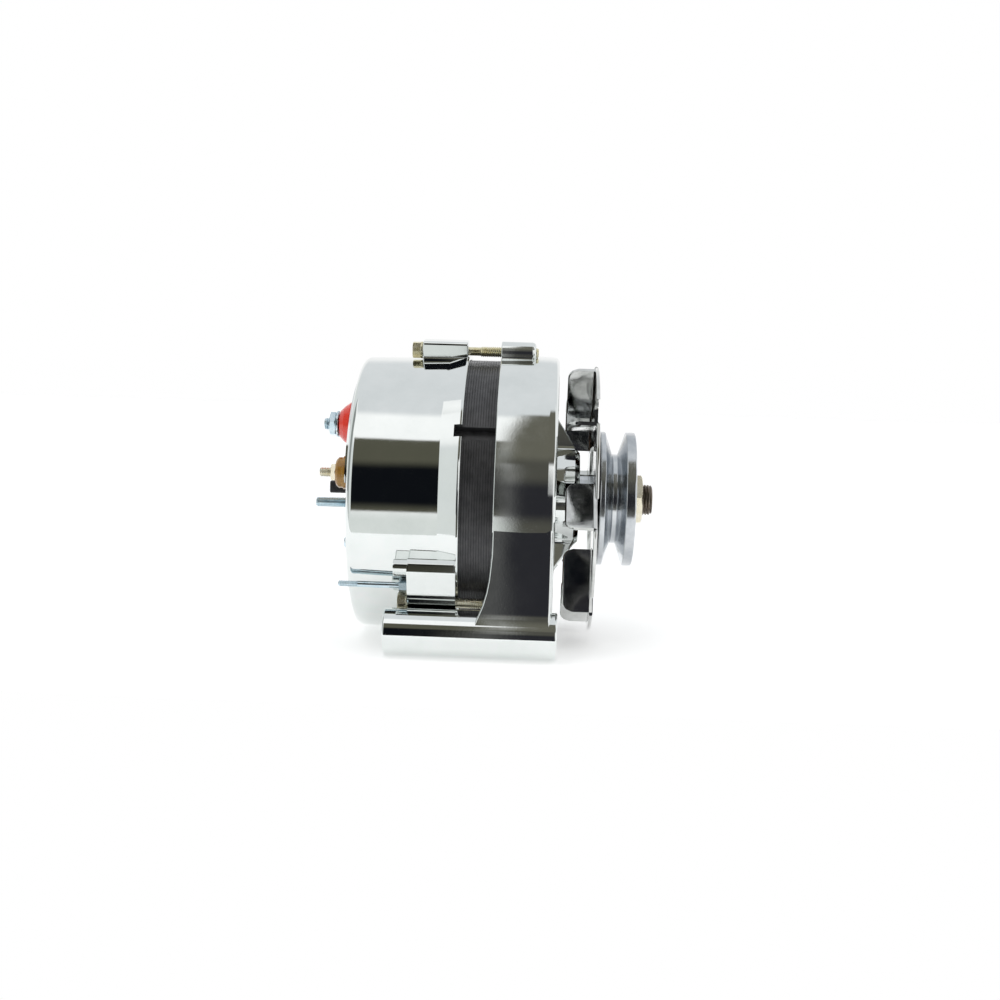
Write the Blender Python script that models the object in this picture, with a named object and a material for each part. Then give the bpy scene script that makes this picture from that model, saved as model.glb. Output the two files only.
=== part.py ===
"""Car alternator: chromed two-piece housing, exposed stator, claw-pole rotor, fan and V-belt pulley.

Everything is drawn in millimetres about the rotor shaft and converted to metres when meshes are made.
Shaft frame: +X along the shaft towards the pulley, x = 0 on the front rim face of the front housing,
angles counted from -Y (0 degrees) up to +Z (90 degrees). The shaft frame hangs on an empty, so that the
finished part has its origin on the pivot bolt's axis, at the front end of the pivot tube.
"""

import math

import bmesh
import bpy
from mathutils import Matrix, Vector

MM = 0.001
GAP = 0.3

# Sides of round pieces: large castings, rings of middling size, and small turned pieces
LARGE, MIDDLE, SMALL = 36, 20, 10

# Shaft and the stack clamped on its front end
SHAFT_R = 8.5
THREAD_R = 7.9
SHAFT_REAR, SHAFT_FRONT = -97.6, 49.8

# Housings and stator
DRUM_R = 72.2
DRUM_REAR = -29.5
STATOR_R = 69.2
STATOR_BORE_R = 52.6
STATOR_REAR, STATOR_FRONT = -49.5, -25.5
RIM_FRONT = -45.3
RIM_REAR = -55.5
BODY_R_FRONT, BODY_R_REAR = 70.7, 69.3
REAR_FACE = -99.3
WALL = 3.4
NOSE_R = 23.6
NOSE_FRONT = 12.0

# Pivot tube, adjusting ear and through bolts
PIVOT_ANGLE, PIVOT_RHO = -42.0, 91.0
PIVOT_R, PIVOT_BORE_R = 11.5, 5.2
TUBE_REAR, TUBE_FRONT, WEB_REAR = -79.5, 2.5, -38.0
EAR_ANGLE, EAR_RHO, EAR_R, EAR_BORE_R = 140.0, 84.0, 10.5, 4.2
EAR_REAR, EAR_FRONT = -15.0, -2.0

# The web from drum to pivot tube, as (z, near y, rear x, far y) from its top down
WEB_FRONT = -0.8
WEB_SECTIONS = [
    (-8.6, -70.9, -29.4, -64.0), (-13.0, -71.5, -29.4, -64.0), (-22.0, -72.4, -29.4, -62.0),
    (-34.0, -73.7, -30.4, -58.0), (-46.5, -75.1, -33.0, -50.0), (-50.0, -75.6, -34.5, -46.0),
    (-52.5, -76.4, -35.6, -44.0), (-55.0, -77.6, -36.8, -42.0), (-57.5, -78.6, WEB_REAR, -38.0),
    (-60.4, -79.0, WEB_REAR, -34.0), (-62.5, -77.5, WEB_REAR, -34.0), (-66.2, -70.0, WEB_REAR, -46.0),
    (-68.0, -64.0, WEB_REAR, -58.0),
]
BOLT_RHO = 74.6
BOLT_ANGLES = (80.0, -40.0, 200.0)
BOLT_R = 2.6
BOLT_SEAT = -69.0
BOSS_BOLT, WING_REAR = 1, -75.5
BOSS_OUTLINE = [
    (-60.0, -26.5), (-70.6, -25.3), (-73.0, -27.6), (-73.0, -31.6), (-67.4, -44.8),
    (-65.0, -47.8), (-60.5, -51.2), (-56.5, -54.8), (-50.0, -54.4), (-48.0, -46.0),
]
BOLT_NOSE = -12.0
STUD_ANGLE, STUD_RHO, STUD_R, STUD_TIP = -32.0, 74.4, 1.5, -102.3

# Openings
RIBS = 5
RIB_ANGLE = 11.0
NOTCH_ANGLE, NOTCH_WIDTH, NOTCH_DEPTH = 29.3, 6.4, 4.5

# Claw poles and bearings
POLE_MEET = -37.5
BALLS, ROLLERS = 7, 9

# Fan and pulley
FAN_R, BLADES, BLADE_ANGLE = 68.0, 8, 1.0
BLADE_SLANT, BLADE_LENGTH, BLADE_MIDDLE_R, BLADE_DEPTH = 38.8, 31.0, 54.2, 13.7
FAN_PLATE = 18.2
FAN_SHEET = 1.8
PULLEY_REAR, PULLEY_FRONT = 22.0, 40.0
PULLEY_R, GROOVE_R = 34.5, 23.0
GROOVE_CENTRE, GROOVE_TOP, GROOVE_FLOOR = 29.9, 10.4, 2.6

# Terminals on the rear face, as (y, z)
BATTERY = (-26.9, 35.2)
FIELD = (-42.6, 12.1)
GROUND = (-44.4, -2.4)
PAD_HEIGHT = 2.0
COVER_SCREW = (-52.0, -20.8)
POSITIVE_SINK = -84.8
RETAINER_SCREWS = [(23.8, 47 + 120 * k) for k in range(3)]
BRUSH_X = (-73.3, -80.3)

CHROME = ((0.82, 0.83, 0.84), 0.06, 1.0)
STEEL = ((0.55, 0.55, 0.56), 0.3, 1.0)
ZINC = ((0.72, 0.78, 0.82), 0.25, 1.0)
YELLOW_ZINC = ((0.72, 0.66, 0.42), 0.3, 1.0)
LAMINATION = ((0.05, 0.05, 0.052), 0.5, 0.6)
COPPER = ((0.6, 0.28, 0.12), 0.35, 0.8)
ALUMINIUM = ((0.6, 0.61, 0.62), 0.4, 1.0)
BLACK_PLASTIC = ((0.02, 0.02, 0.022), 0.45, 0.0)
RED_PLASTIC = ((0.75, 0.03, 0.02), 0.35, 0.0)
AMBER_PLASTIC = ((0.42, 0.24, 0.05), 0.4, 0.0)
CARBON = ((0.06, 0.06, 0.065), 0.6, 0.2)


# ---------------------------------------------------------------- helpers

def material(name, look):
    """A Principled material, made once for each name."""
    found = bpy.data.materials.get(name)
    if found:
        return found
    colour, roughness, metallic = look
    made = bpy.data.materials.new(name)
    made.use_nodes = True
    shader = made.node_tree.nodes["Principled BSDF"]
    shader.inputs["Base Color"].default_value = (*colour, 1)
    shader.inputs["Roughness"].default_value = roughness
    shader.inputs["Metallic"].default_value = metallic
    return made


def polar(rho, degrees):
    """(y, z) at a radius and an angle counted from -Y up to +Z."""
    a = math.radians(degrees)
    return -rho * math.cos(a), rho * math.sin(a)


def add_object(name, bm, look, parent):
    """Turns a bmesh drawn in millimetres into an object in metres, hung on parent."""
    bmesh.ops.recalc_face_normals(bm, faces=bm.faces)
    bmesh.ops.scale(bm, vec=(MM, MM, MM), verts=bm.verts)
    mesh = bpy.data.meshes.new(name)
    bm.to_mesh(mesh)
    bm.free()
    mesh.shade_smooth()
    mesh.set_sharp_from_angle(angle=math.radians(35))
    made = bpy.data.objects.new(name, mesh)
    bpy.context.scene.collection.objects.link(made)
    made.parent = parent
    if look:
        mesh.materials.append(material(look[0], look[1]))
    return made


def turned(bm, profile, segments, centre=(0, 0), phase=0.0):
    """Adds a solid turned about an X axis through centre = (y, z) from a closed list of (x, r)."""
    rings = []
    for x, r in profile:
        if r < 1e-6:
            rings.append([bm.verts.new((x, centre[0], centre[1]))])
            continue
        ring = []
        for i in range(segments):
            a = 2 * math.pi * (i + phase) / segments
            ring.append(bm.verts.new((x, centre[0] - r * math.cos(a), centre[1] + r * math.sin(a))))
        rings.append(ring)
    for k, ring in enumerate(rings):
        other = rings[(k + 1) % len(rings)]
        for i in range(segments):
            j = (i + 1) % segments
            corners = [ring[i % len(ring)], ring[j % len(ring)], other[j % len(other)], other[i % len(other)]]
            unique = list(dict.fromkeys(corners))
            if len(unique) > 2:
                bm.faces.new(unique)


def rod(bm, x0, x1, r, centre=(0, 0), segments=16, chamfer=0.0, phase=0.0):
    """Adds a solid cylinder along X, with a chamfer on its x1 end if asked."""
    profile = [(x0, 0), (x0, r)]
    if chamfer:
        inward = math.copysign(chamfer, x1 - x0)
        profile += [(x1 - inward, r), (x1, r - chamfer)]
    else:
        profile += [(x1, r)]
    profile += [(x1, 0)]
    turned(bm, profile, segments, centre, phase)


def tube(bm, x0, x1, r_in, r_out, centre=(0, 0), segments=32, phase=0.0):
    """Adds a plain ring along X."""
    turned(bm, [(x0, r_in), (x0, r_out), (x1, r_out), (x1, r_in)], segments, centre, phase)


def prism(bm, outline, x0, x1):
    """Adds a solid with a flat (y, z) outline, from x0 to x1."""
    low = [bm.verts.new((x0, y, z)) for y, z in outline]
    face = bm.faces.new(low)
    grown = bmesh.ops.extrude_face_region(bm, geom=[face])
    moved = [g for g in grown["geom"] if isinstance(g, bmesh.types.BMVert)]
    bmesh.ops.translate(bm, vec=(x1 - x0, 0, 0), verts=moved)


def block(bm, low, high, turn=0.0):
    """Adds a box between two corners, turned about the shaft by an angle in degrees."""
    made = bmesh.ops.create_cube(bm, size=1.0)["verts"]
    size = [h - l for l, h in zip(low, high)]
    middle = [(l + h) / 2 for l, h in zip(low, high)]
    bmesh.ops.scale(bm, vec=size, verts=made)
    bmesh.ops.translate(bm, vec=middle, verts=made)
    if turn:
        bmesh.ops.rotate(bm, verts=made, cent=(0, 0, 0), matrix=Matrix.Rotation(math.radians(turn), 3, "X"))


def loft(bm, rings):
    """Adds a solid skinned over rings of points, all with the same count, and closes both ends."""
    made = [[bm.verts.new(point) for point in ring] for ring in rings]
    for one, other in zip(made, made[1:]):
        for i in range(len(one)):
            j = (i + 1) % len(one)
            bm.faces.new((one[i], one[j], other[j], other[i]))
    bm.faces.new(made[0])
    bm.faces.new(made[-1])


def turn_about_shaft(bm, degrees):
    """Turns everything drawn at angle 0 (towards -Y) to another angle."""
    turn = Matrix.Rotation(math.radians(-degrees), 3, "X")
    bmesh.ops.rotate(bm, verts=bm.verts, cent=(0, 0, 0), matrix=turn)


def arc_points(centre, r, start, end, count):
    """Points (y, z) on an arc about centre, angles counted as for polar()."""
    step = (end - start) / (count - 1)
    made = []
    for i in range(count):
        y, z = polar(r, start + step * i)
        made.append((centre[0] + y, centre[1] + z))
    return made


def sector(r_in, r_out, start, end, count=8):
    """The outline of a ring's sector about the shaft."""
    return arc_points((0, 0), r_out, start, end, count) + arc_points((0, 0), r_in, end, start, count)


def lug_outline(angle, top, sides):
    """A lug's outline, the same on both sides of a radius, from (radius, half width) corners."""
    right = [top, *sides]
    corners = [(rho, -half) for rho, half in reversed(right)] + right
    turn = math.radians(angle)
    return [
        (-rho * math.cos(turn) + half * math.sin(turn), rho * math.sin(turn) + half * math.cos(turn))
        for rho, half in corners
    ]


def hexagon(centre, across_flats, turn=0.0):
    """A hexagon's outline, with a corner at the given angle."""
    r = across_flats / math.sqrt(3)
    corners = [polar(r, turn + 60 * k) for k in range(6)]
    return [(centre[0] + y, centre[1] + z) for y, z in corners]


def carve(target, tool, operation="DIFFERENCE"):
    """Puts a Boolean on target and hides its tool."""
    modifier = target.modifiers.new(operation.lower(), "BOOLEAN")
    modifier.operation = operation
    modifier.solver = "EXACT"
    modifier.object = tool
    tool.hide_render = True
    tool.display_type = "WIRE"


def start():
    """Empties the scene and makes the two empties that everything hangs on."""
    for found in list(bpy.data.objects):
        bpy.data.objects.remove(found)
    pivot_y, pivot_z = polar(PIVOT_RHO, PIVOT_ANGLE)
    frame = bpy.data.objects.new("shaft_frame", None)
    frame.location = Vector((-TUBE_FRONT, -pivot_y, -pivot_z)) * MM
    bpy.context.scene.collection.objects.link(frame)
    rotor = bpy.data.objects.new("rotor_axis", None)
    rotor.parent = frame
    bpy.context.scene.collection.objects.link(rotor)
    return frame, rotor


# ---------------------------------------------------------------- housings

def front_housing(frame):
    """Drive-end casting: drum, slanted ribs, bearing nose, pivot tube and adjusting ear."""
    bm = bmesh.new()
    cone_top, cone_foot = 24.6, 45.0
    profile = [
        (DRUM_REAR, DRUM_R), (-1.2, DRUM_R), (0, DRUM_R - 1.2), (0, 60.5), (-2.5, 59.0), (-2.5, cone_foot),
        (NOSE_FRONT - 1.2, cone_top), (NOSE_FRONT, NOSE_R - 0.6), (NOSE_FRONT, 15.0), (10.8, 15.0),
        (10.8, 20.0 + GAP), (-1.2, 20.0 + GAP), (-1.2, NOSE_R), (-6.0, cone_foot), (-6.0, 66.0),
        (STATOR_FRONT, 66.0), (STATOR_FRONT, STATOR_R + GAP), (DRUM_REAR, STATOR_R + GAP),
    ]
    turned(bm, profile, LARGE)
    housing = add_object("front_housing", bm, ("chrome_casting", CHROME), frame)

    pivot = polar(PIVOT_RHO, PIVOT_ANGLE)
    bm = bmesh.new()
    rod(bm, TUBE_REAR, TUBE_FRONT, PIVOT_R, pivot, MIDDLE)
    carve(housing, add_object("add_tube", bm, None, frame), "UNION")

    rings = []
    for z, near, rear, far in WEB_SECTIONS:
        rings.append([(rear, far, z), (WEB_FRONT, far, z), (WEB_FRONT, near, z), (rear, near, z)])
    bm = bmesh.new()
    loft(bm, rings)
    web = add_object("add_web", bm, None, frame)
    bm = bmesh.new()
    rod(bm, WEB_REAR - 1, 0.5, DRUM_R - 1.8, (0, 0), LARGE)
    carve(web, add_object("cut_web", bm, None, frame))
    carve(housing, web, "UNION")

    bm = bmesh.new()
    ear = polar(EAR_RHO, EAR_ANGLE)
    tip = arc_points(ear, EAR_R, EAR_ANGLE - 90, EAR_ANGLE + 90, 9)
    root = [polar(DRUM_R - 3, EAR_ANGLE + 12), polar(DRUM_R - 3, EAR_ANGLE - 12)]
    prism(bm, tip + root, EAR_REAR, EAR_FRONT)
    carve(housing, add_object("add_ear", bm, None, frame), "UNION")

    for k, angle in enumerate(BOLT_ANGLES):
        bm = bmesh.new()
        sides = [(78.4, 5.4), (73.0, 6.2), (70.8, 8.4)]
        prism(bm, lug_outline(angle, (80.0, 4.2), sides), DRUM_REAR + 0.2, BOLT_NOSE)
        carve(housing, add_object(f"add_front_lug_{k}", bm, None, frame), "UNION")

    bm = bmesh.new()
    rod(bm, TUBE_REAR - 1, TUBE_FRONT + 1, PIVOT_BORE_R, pivot, 16)
    rod(bm, EAR_REAR - 1, EAR_FRONT + 1, EAR_BORE_R, ear, 16)
    for angle in BOLT_ANGLES:
        rod(bm, WEB_REAR - 1, BOLT_NOSE + 2, BOLT_R + GAP, polar(BOLT_RHO, angle), SMALL)
    for k in range(RIBS):
        middle = RIB_ANGLE + 360 / RIBS * (k + 0.5)
        half_in, half_out = 180 / RIBS - 7.5, 180 / RIBS - 4.2
        outline = arc_points((0, 0), 56.0, middle - half_out, middle + half_out, 6)
        outline += arc_points((0, 0), 26.0, middle + half_in, middle - half_in, 4)
        prism(bm, outline, -9.0, NOSE_FRONT + 2)
    for place in RETAINER_SCREWS:
        rod(bm, -8.0, 5.0, 1.7, polar(*place), 8)
    carve(housing, add_object("cut_front", bm, None, frame))


def rear_housing(frame):
    """Slip-ring-end casting: a deep cup with a flared rim, bolt lugs, terminal pad and air slots."""
    bm = bmesh.new()
    inner_face = REAR_FACE + WALL
    profile = [
        (REAR_FACE, BODY_R_REAR - 2.5), (REAR_FACE + 2.5, BODY_R_REAR), (RIM_REAR, BODY_R_FRONT),
        (RIM_FRONT - 1.2, DRUM_R), (RIM_FRONT, DRUM_R), (RIM_FRONT, STATOR_R + GAP),
        (STATOR_REAR, STATOR_R + GAP), (STATOR_REAR, 66.0), (inner_face + 2.5, BODY_R_REAR - WALL),
        (inner_face, BODY_R_REAR - WALL - 2.5),
        (inner_face, 18.0), (-86.8, 17.0), (-86.8, 12.0 + GAP), (REAR_FACE + 1.5, 12.0 + GAP),
        (REAR_FACE + 1.5, 10.5), (REAR_FACE, 10.5),
    ]
    turned(bm, profile, LARGE)
    housing = add_object("rear_housing", bm, ("chrome_casting", CHROME), frame)

    for k, angle in enumerate(BOLT_ANGLES):
        bm = bmesh.new()
        if k == BOSS_BOLT:
            prism(bm, BOSS_OUTLINE, BOLT_SEAT, RIM_FRONT)
        else:
            sides = [(78.6, 4.8), (66.6, 14.2)]
            prism(bm, lug_outline(angle, (79.8, 3.4), sides), BOLT_SEAT, RIM_FRONT)
        carve(housing, add_object(f"add_rear_lug_{k}", bm, None, frame), "UNION")

    bm = bmesh.new()
    outline = [(-61.0, -26.6), (-70.2, -26.0), (-72.5, -28.0), (-72.5, -30.4), (-70.0, -34.2), (-61.0, -33.4)]
    prism(bm, outline, WING_REAR, BOLT_SEAT + 3)
    carve(housing, add_object("add_wing", bm, None, frame), "UNION")

    bm = bmesh.new()
    prism(bm, sector(31.0, 60.0, 8.0, 76.0, 9), REAR_FACE - PAD_HEIGHT, REAR_FACE + 1)
    carve(housing, add_object("add_pad", bm, None, frame), "UNION")

    bm = bmesh.new()
    rod(bm, STATOR_REAR, RIM_FRONT + 1, STATOR_R + GAP, (0, 0), LARGE)
    carve(housing, add_object("cut_seat", bm, None, frame))

    bm = bmesh.new()
    for angle in BOLT_ANGLES:
        rod(bm, BOLT_SEAT - 1, RIM_FRONT + 1, BOLT_R + GAP, polar(BOLT_RHO, angle), SMALL)
    rod(bm, BOLT_SEAT - 1, BOLT_SEAT + 8.0, STUD_R + GAP, polar(STUD_RHO, STUD_ANGLE), SMALL)
    for centre, r in ((BATTERY, 4.6), (FIELD, 3.9), (GROUND, 2.8), (COVER_SCREW, 1.8)):
        rod(bm, REAR_FACE - 4, REAR_FACE + 6, r, centre, 10)
    for angle in range(100, 350, 30):
        if angle in (220,):
            continue
        prism(bm, sector(27.0, 40.0, angle - 9.5, angle + 9.5, 3), REAR_FACE - 1, inner_face + 1)
    half, floor = NOTCH_WIDTH / 2, STATOR_R - 1
    for k in range(3):
        turn = -(NOTCH_ANGLE + 120 * k - 90)
        block(bm, (STATOR_REAR + GAP, -half, floor), (RIM_FRONT + 1, half, floor + 8), turn)
    carve(housing, add_object("cut_rear", bm, None, frame))


# ---------------------------------------------------------------- stator

def stator(frame):
    """Laminated core with 36 slots, winding bars in them and an end-turn ring at each side."""
    slots = 36
    slot_r, slot_half = 62.5, 2.6
    mouth = math.degrees(slot_half * 0.85 / STATOR_BORE_R)
    floor = math.degrees(slot_half / slot_r)
    bm = bmesh.new()
    rings = {}
    for x in (STATOR_REAR + GAP, STATOR_FRONT - GAP):
        inner, outer = [], []
        for k in range(slots):
            a = 360 / slots * k
            slot = [(STATOR_BORE_R, a - mouth), (slot_r, a - floor)]
            slot += [(slot_r, a + floor), (STATOR_BORE_R, a + mouth)]
            inner.append([bm.verts.new((x, *polar(rho, angle))) for rho, angle in slot])
            outer.append(bm.verts.new((x, *polar(STATOR_R, a - mouth))))
        for k in range(slots):
            m = (k + 1) % slots
            bm.faces.new((*inner[k], inner[m][0], outer[m], outer[k]))
        rings[x] = ([v for part in inner for v in part], outer)
    low, high = rings.values()
    for one, other in zip(low, high):
        for i in range(len(one)):
            j = (i + 1) % len(one)
            bm.faces.new((one[i], one[j], other[j], other[i]))
    core = add_object("stator_core", bm, ("lamination_steel", LAMINATION), frame)
    bm = bmesh.new()
    for k in range(3):
        turn = -(NOTCH_ANGLE + 120 * k - 90)
        half, floor = NOTCH_WIDTH / 2, STATOR_R - NOTCH_DEPTH
        block(bm, (STATOR_REAR - 1, -half, floor), (STATOR_FRONT + 1, half, STATOR_R + 4), turn)
    carve(core, add_object("cut_stator", bm, None, frame))

    bm = bmesh.new()
    end_turns = [(0.4, 54.4), (10.5, 55.0), (11.5, 62.0), (0.4, 62.9)]
    for x0, way in ((STATOR_REAR, -1), (STATOR_FRONT, 1)):
        turned(bm, [(x0 + way * x, r) for x, r in end_turns], LARGE)
    winding = add_object("stator_winding", bm, ("copper_winding", COPPER), frame)
    bm = bmesh.new()
    for k in range(slots):
        block(bm, (STATOR_REAR - 2, -1.7, 55.2), (STATOR_FRONT + 2, 1.7, 61.6), 360 / slots * k)
    carve(winding, add_object("add_slot_bars", bm, None, frame), "UNION")


# ---------------------------------------------------------------- rotor

def claw_pole(name, x_disc, way, turn, rotor):
    """One six-fingered pole piece; way is the direction in which its fingers point."""
    bm = bmesh.new()
    thickness, fingers = 9.0, 6
    hub = SHAFT_R + GAP
    half_core = abs(x_disc - POLE_MEET) - GAP / 2
    profile = [(0, hub), (0, 36.0), (thickness, 36.0), (thickness, 22.0), (half_core, 22.0), (half_core, hub)]
    turned(bm, [(x_disc + way * x, r) for x, r in profile], MIDDLE)
    pole = add_object(name, bm, ("pole_steel", STEEL), rotor)
    bm = bmesh.new()
    for k in range(fingers):
        angle = turn + 360 / fingers * k
        sections = ((0.0, 33.0, 50.4, 13.0), (thickness, 33.0, 51.9, 13.0),
                    (thickness + 0.01, 43.0, 51.9, 13.0), (44.0, 47.5, 51.9, 4.5))
        rings = []
        for depth, r_in, r_out, half in sections:
            x = x_disc + way * depth
            outer = math.degrees(half / r_out)
            inner = 0.92 * outer
            points = (
                (r_in, -inner), (r_out, -outer), (r_out, -outer / 3),
                (r_out, outer / 3), (r_out, outer), (r_in, inner),
            )
            rings.append([(x, *polar(rho, angle + spread)) for rho, spread in points])
        loft(bm, rings)
    carve(pole, add_object(f"add_{name}", bm, None, rotor), "UNION")


def rotor_parts(rotor):
    """Shaft, claw poles, field coil, slip rings and everything clamped on the shaft's nose."""
    bm = bmesh.new()
    profile = [
        (SHAFT_REAR, 0), (SHAFT_REAR, 7.6), (SHAFT_REAR + 0.8, SHAFT_R - 0.1), (-12.7, SHAFT_R - 0.1),
        (-12.7, 11.5), (-1.3, 11.5), (-1.3, SHAFT_R - 0.1), (PULLEY_FRONT - 6.5, SHAFT_R - 0.1),
        (PULLEY_FRONT - 6.2, THREAD_R), (SHAFT_FRONT - 1.2, THREAD_R),
        (SHAFT_FRONT, THREAD_R - 1.2), (SHAFT_FRONT, 0),
    ]
    turned(bm, profile, 20)
    add_object("rotor_shaft", bm, ("shaft_steel", STEEL), rotor)

    claw_pole("rear_claw_pole", -62.0, 1, 0.0, rotor)
    claw_pole("front_claw_pole", -13.0, -1, 30.0, rotor)

    bm = bmesh.new()
    tube(bm, -52.6, -22.4, 22.3, 41.5, (0, 0), MIDDLE)
    add_object("field_coil", bm, ("copper_winding", COPPER), rotor)
    bm = bmesh.new()
    tube(bm, -85.0, -69.0, SHAFT_R + 0.2, 11.4, (0, 0), MIDDLE)
    add_object("slip_ring_sleeve", bm, ("black_plastic", BLACK_PLASTIC), rotor)
    for name, x0 in (("slip_ring_inner", -75.8), ("slip_ring_outer", -82.8)):
        bm = bmesh.new()
        tube(bm, x0, x0 + 5.0, 11.7, 14.0, (0, 0), MIDDLE)
        add_object(name, bm, ("copper_winding", COPPER), rotor)
    bm = bmesh.new()
    tube(bm, 11.2, 19.4, SHAFT_R + 0.2, 12.0, (0, 0), MIDDLE)
    add_object("fan_spacer", bm, ("machined_steel", STEEL), rotor)

    fan(rotor)

    bm = bmesh.new()
    half_top, half_floor = GROOVE_TOP / 2, GROOVE_FLOOR / 2
    recess_r, recess_x = 16.0, PULLEY_FRONT - 6.0
    profile = [
        (PULLEY_REAR, SHAFT_R + 0.2), (PULLEY_REAR, PULLEY_R - 0.5), (PULLEY_REAR + 0.5, PULLEY_R),
        (GROOVE_CENTRE - half_top, PULLEY_R), (GROOVE_CENTRE - half_floor, GROOVE_R),
        (GROOVE_CENTRE + half_floor, GROOVE_R), (GROOVE_CENTRE + half_top, PULLEY_R),
        (PULLEY_FRONT - 0.5, PULLEY_R), (PULLEY_FRONT, PULLEY_R - 0.5),
        (PULLEY_FRONT, recess_r), (recess_x, recess_r), (recess_x, SHAFT_R + 0.2),
    ]
    turned(bm, profile, LARGE)
    add_object("pulley", bm, ("machined_steel", STEEL), rotor)

    bm = bmesh.new()
    tube(bm, recess_x + GAP, recess_x + 2.4, THREAD_R + GAP, 13.6, (0, 0), MIDDLE)
    add_object("lock_washer", bm, ("machined_steel", STEEL), rotor)
    bm = bmesh.new()
    prism(bm, hexagon((0, 0), 24.0), recess_x + 2.7, 44.6)
    nut_body = add_object("pulley_nut", bm, ("yellow_zinc", YELLOW_ZINC), rotor)
    bm = bmesh.new()
    rod(bm, recess_x, 46.0, THREAD_R + GAP, (0, 0), 24)
    carve(nut_body, add_object("cut_nut", bm, None, rotor))


def fan(rotor):
    """Stamped fan: a dished disc with slanted blades bent back out of windows in it."""
    plate, sheet, raised = FAN_PLATE, FAN_SHEET, 1.7
    bm = bmesh.new()
    profile = [
        (plate + raised, SHAFT_R + 0.2), (plate + raised, 32.0), (plate, 36.0), (plate, FAN_R),
        (plate + sheet, FAN_R), (plate + sheet, 36.5), (plate + raised + sheet, 32.5),
        (plate + raised + sheet, SHAFT_R + 0.2),
    ]
    turned(bm, profile, LARGE)
    disc = add_object("fan", bm, ("chrome_sheet", CHROME), rotor)
    cuts, adds = bmesh.new(), bmesh.new()
    half = BLADE_LENGTH / 2
    lean = Matrix.Rotation(math.radians(BLADE_SLANT), 3, "X")
    window = (cuts, (plate - 1, -half - 8, -0.5 * sheet), (plate + sheet + 1, half + 0.7, BLADE_DEPTH - 2))
    blade = (adds, (plate - BLADE_DEPTH, -half, -sheet), (plate + sheet * 0.6, half, 0.0))
    for k in range(BLADES):
        spin = Matrix.Rotation(math.radians(-BLADE_ANGLE - 360 / BLADES * k), 3, "X")
        for bm, low, high in (window, blade):
            made = bmesh.ops.create_cube(bm, size=1.0)["verts"]
            bmesh.ops.scale(bm, vec=[h - l for l, h in zip(low, high)], verts=made)
            bmesh.ops.translate(bm, vec=[(h + l) / 2 for l, h in zip(low, high)], verts=made)
            bmesh.ops.rotate(bm, verts=made, cent=(0, 0, 0), matrix=lean)
            bmesh.ops.translate(bm, vec=(0, -BLADE_MIDDLE_R, 0), verts=made)
            bmesh.ops.rotate(bm, verts=made, cent=(0, 0, 0), matrix=spin)
    carve(disc, add_object("cut_fan", cuts, None, rotor))
    carve(disc, add_object("add_fan", adds, None, rotor), "UNION")


# ---------------------------------------------------------------- bearings

def bearings(frame, rotor):
    """Front ball bearing in the nose with its retainer, and the rear needle bearing."""
    middle, reach, depth = 4.8, 3.0, 1.9
    for name, track, edge, hold in (("outer", 16.6, 20.0, frame), ("inner", 12.2, SHAFT_R + 0.1, rotor)):
        side = math.copysign(depth, edge - track)
        bm = bmesh.new()
        turned(bm, [(-1.0, track), (-1.0, edge), (10.6, edge), (10.6, track),
                    (middle + reach, track), (middle, track + side), (middle - reach, track)], MIDDLE)
        add_object(f"front_bearing_{name}_race", bm, ("bearing_steel", STEEL), hold)
    bm = bmesh.new()
    tube(bm, middle - 0.8, middle + 0.8, 13.6, 15.2, (0, 0), MIDDLE)
    cage = add_object("front_bearing_balls", bm, ("bearing_steel", STEEL), rotor)
    balls = bmesh.new()
    for k in range(BALLS):
        made = bmesh.ops.create_uvsphere(balls, u_segments=8, v_segments=5, radius=3.2)["verts"]
        bmesh.ops.translate(balls, vec=(middle, *polar(14.4, 360 / BALLS * k)), verts=made)
    carve(cage, add_object("add_balls", balls, None, rotor), "UNION")
    bm = bmesh.new()
    tube(bm, 9.0, 9.6, 12.6, 16.3, (0, 0), MIDDLE)
    add_object("front_bearing_shield", bm, ("bearing_steel", STEEL), frame)

    bm = bmesh.new()
    tube(bm, -4.2, -2.2, 14.0, 26.5, (0, 0), MIDDLE)
    plate = add_object("bearing_retainer", bm, ("machined_steel", STEEL), frame)
    bm = bmesh.new()
    for place in RETAINER_SCREWS:
        rod(bm, -5.0, 0.0, 1.7, polar(*place), 8)
    carve(plate, add_object("cut_retainer", bm, None, frame))

    bm = bmesh.new()
    tube(bm, -97.2, -87.2, 11.2, 12.0, (0, 0), MIDDLE)
    add_object("rear_bearing_shell", bm, ("bearing_steel", STEEL), frame)
    bm = bmesh.new()
    tube(bm, -92.7, -91.7, 9.4, 10.4, (0, 0), MIDDLE)
    cage = add_object("rear_bearing_rollers", bm, ("bearing_steel", STEEL), rotor)
    bm = bmesh.new()
    for k in range(ROLLERS):
        rod(bm, -96.4, -88.0, 1.15, polar(9.85, 360 / ROLLERS * k), 6)
    carve(cage, add_object("add_rollers", bm, None, rotor), "UNION")


# ---------------------------------------------------------------- fasteners

def nut(name, outline, x0, x1, centre, bore, look, parent):
    """A hexagonal nut with a plain bore."""
    bm = bmesh.new()
    prism(bm, outline, x0, x1)
    made = add_object(name, bm, look, parent)
    bm = bmesh.new()
    rod(bm, min(x0, x1) - 1, max(x0, x1) + 1, bore, centre, SMALL)
    carve(made, add_object(f"cut_{name}", bm, None, parent))


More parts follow.
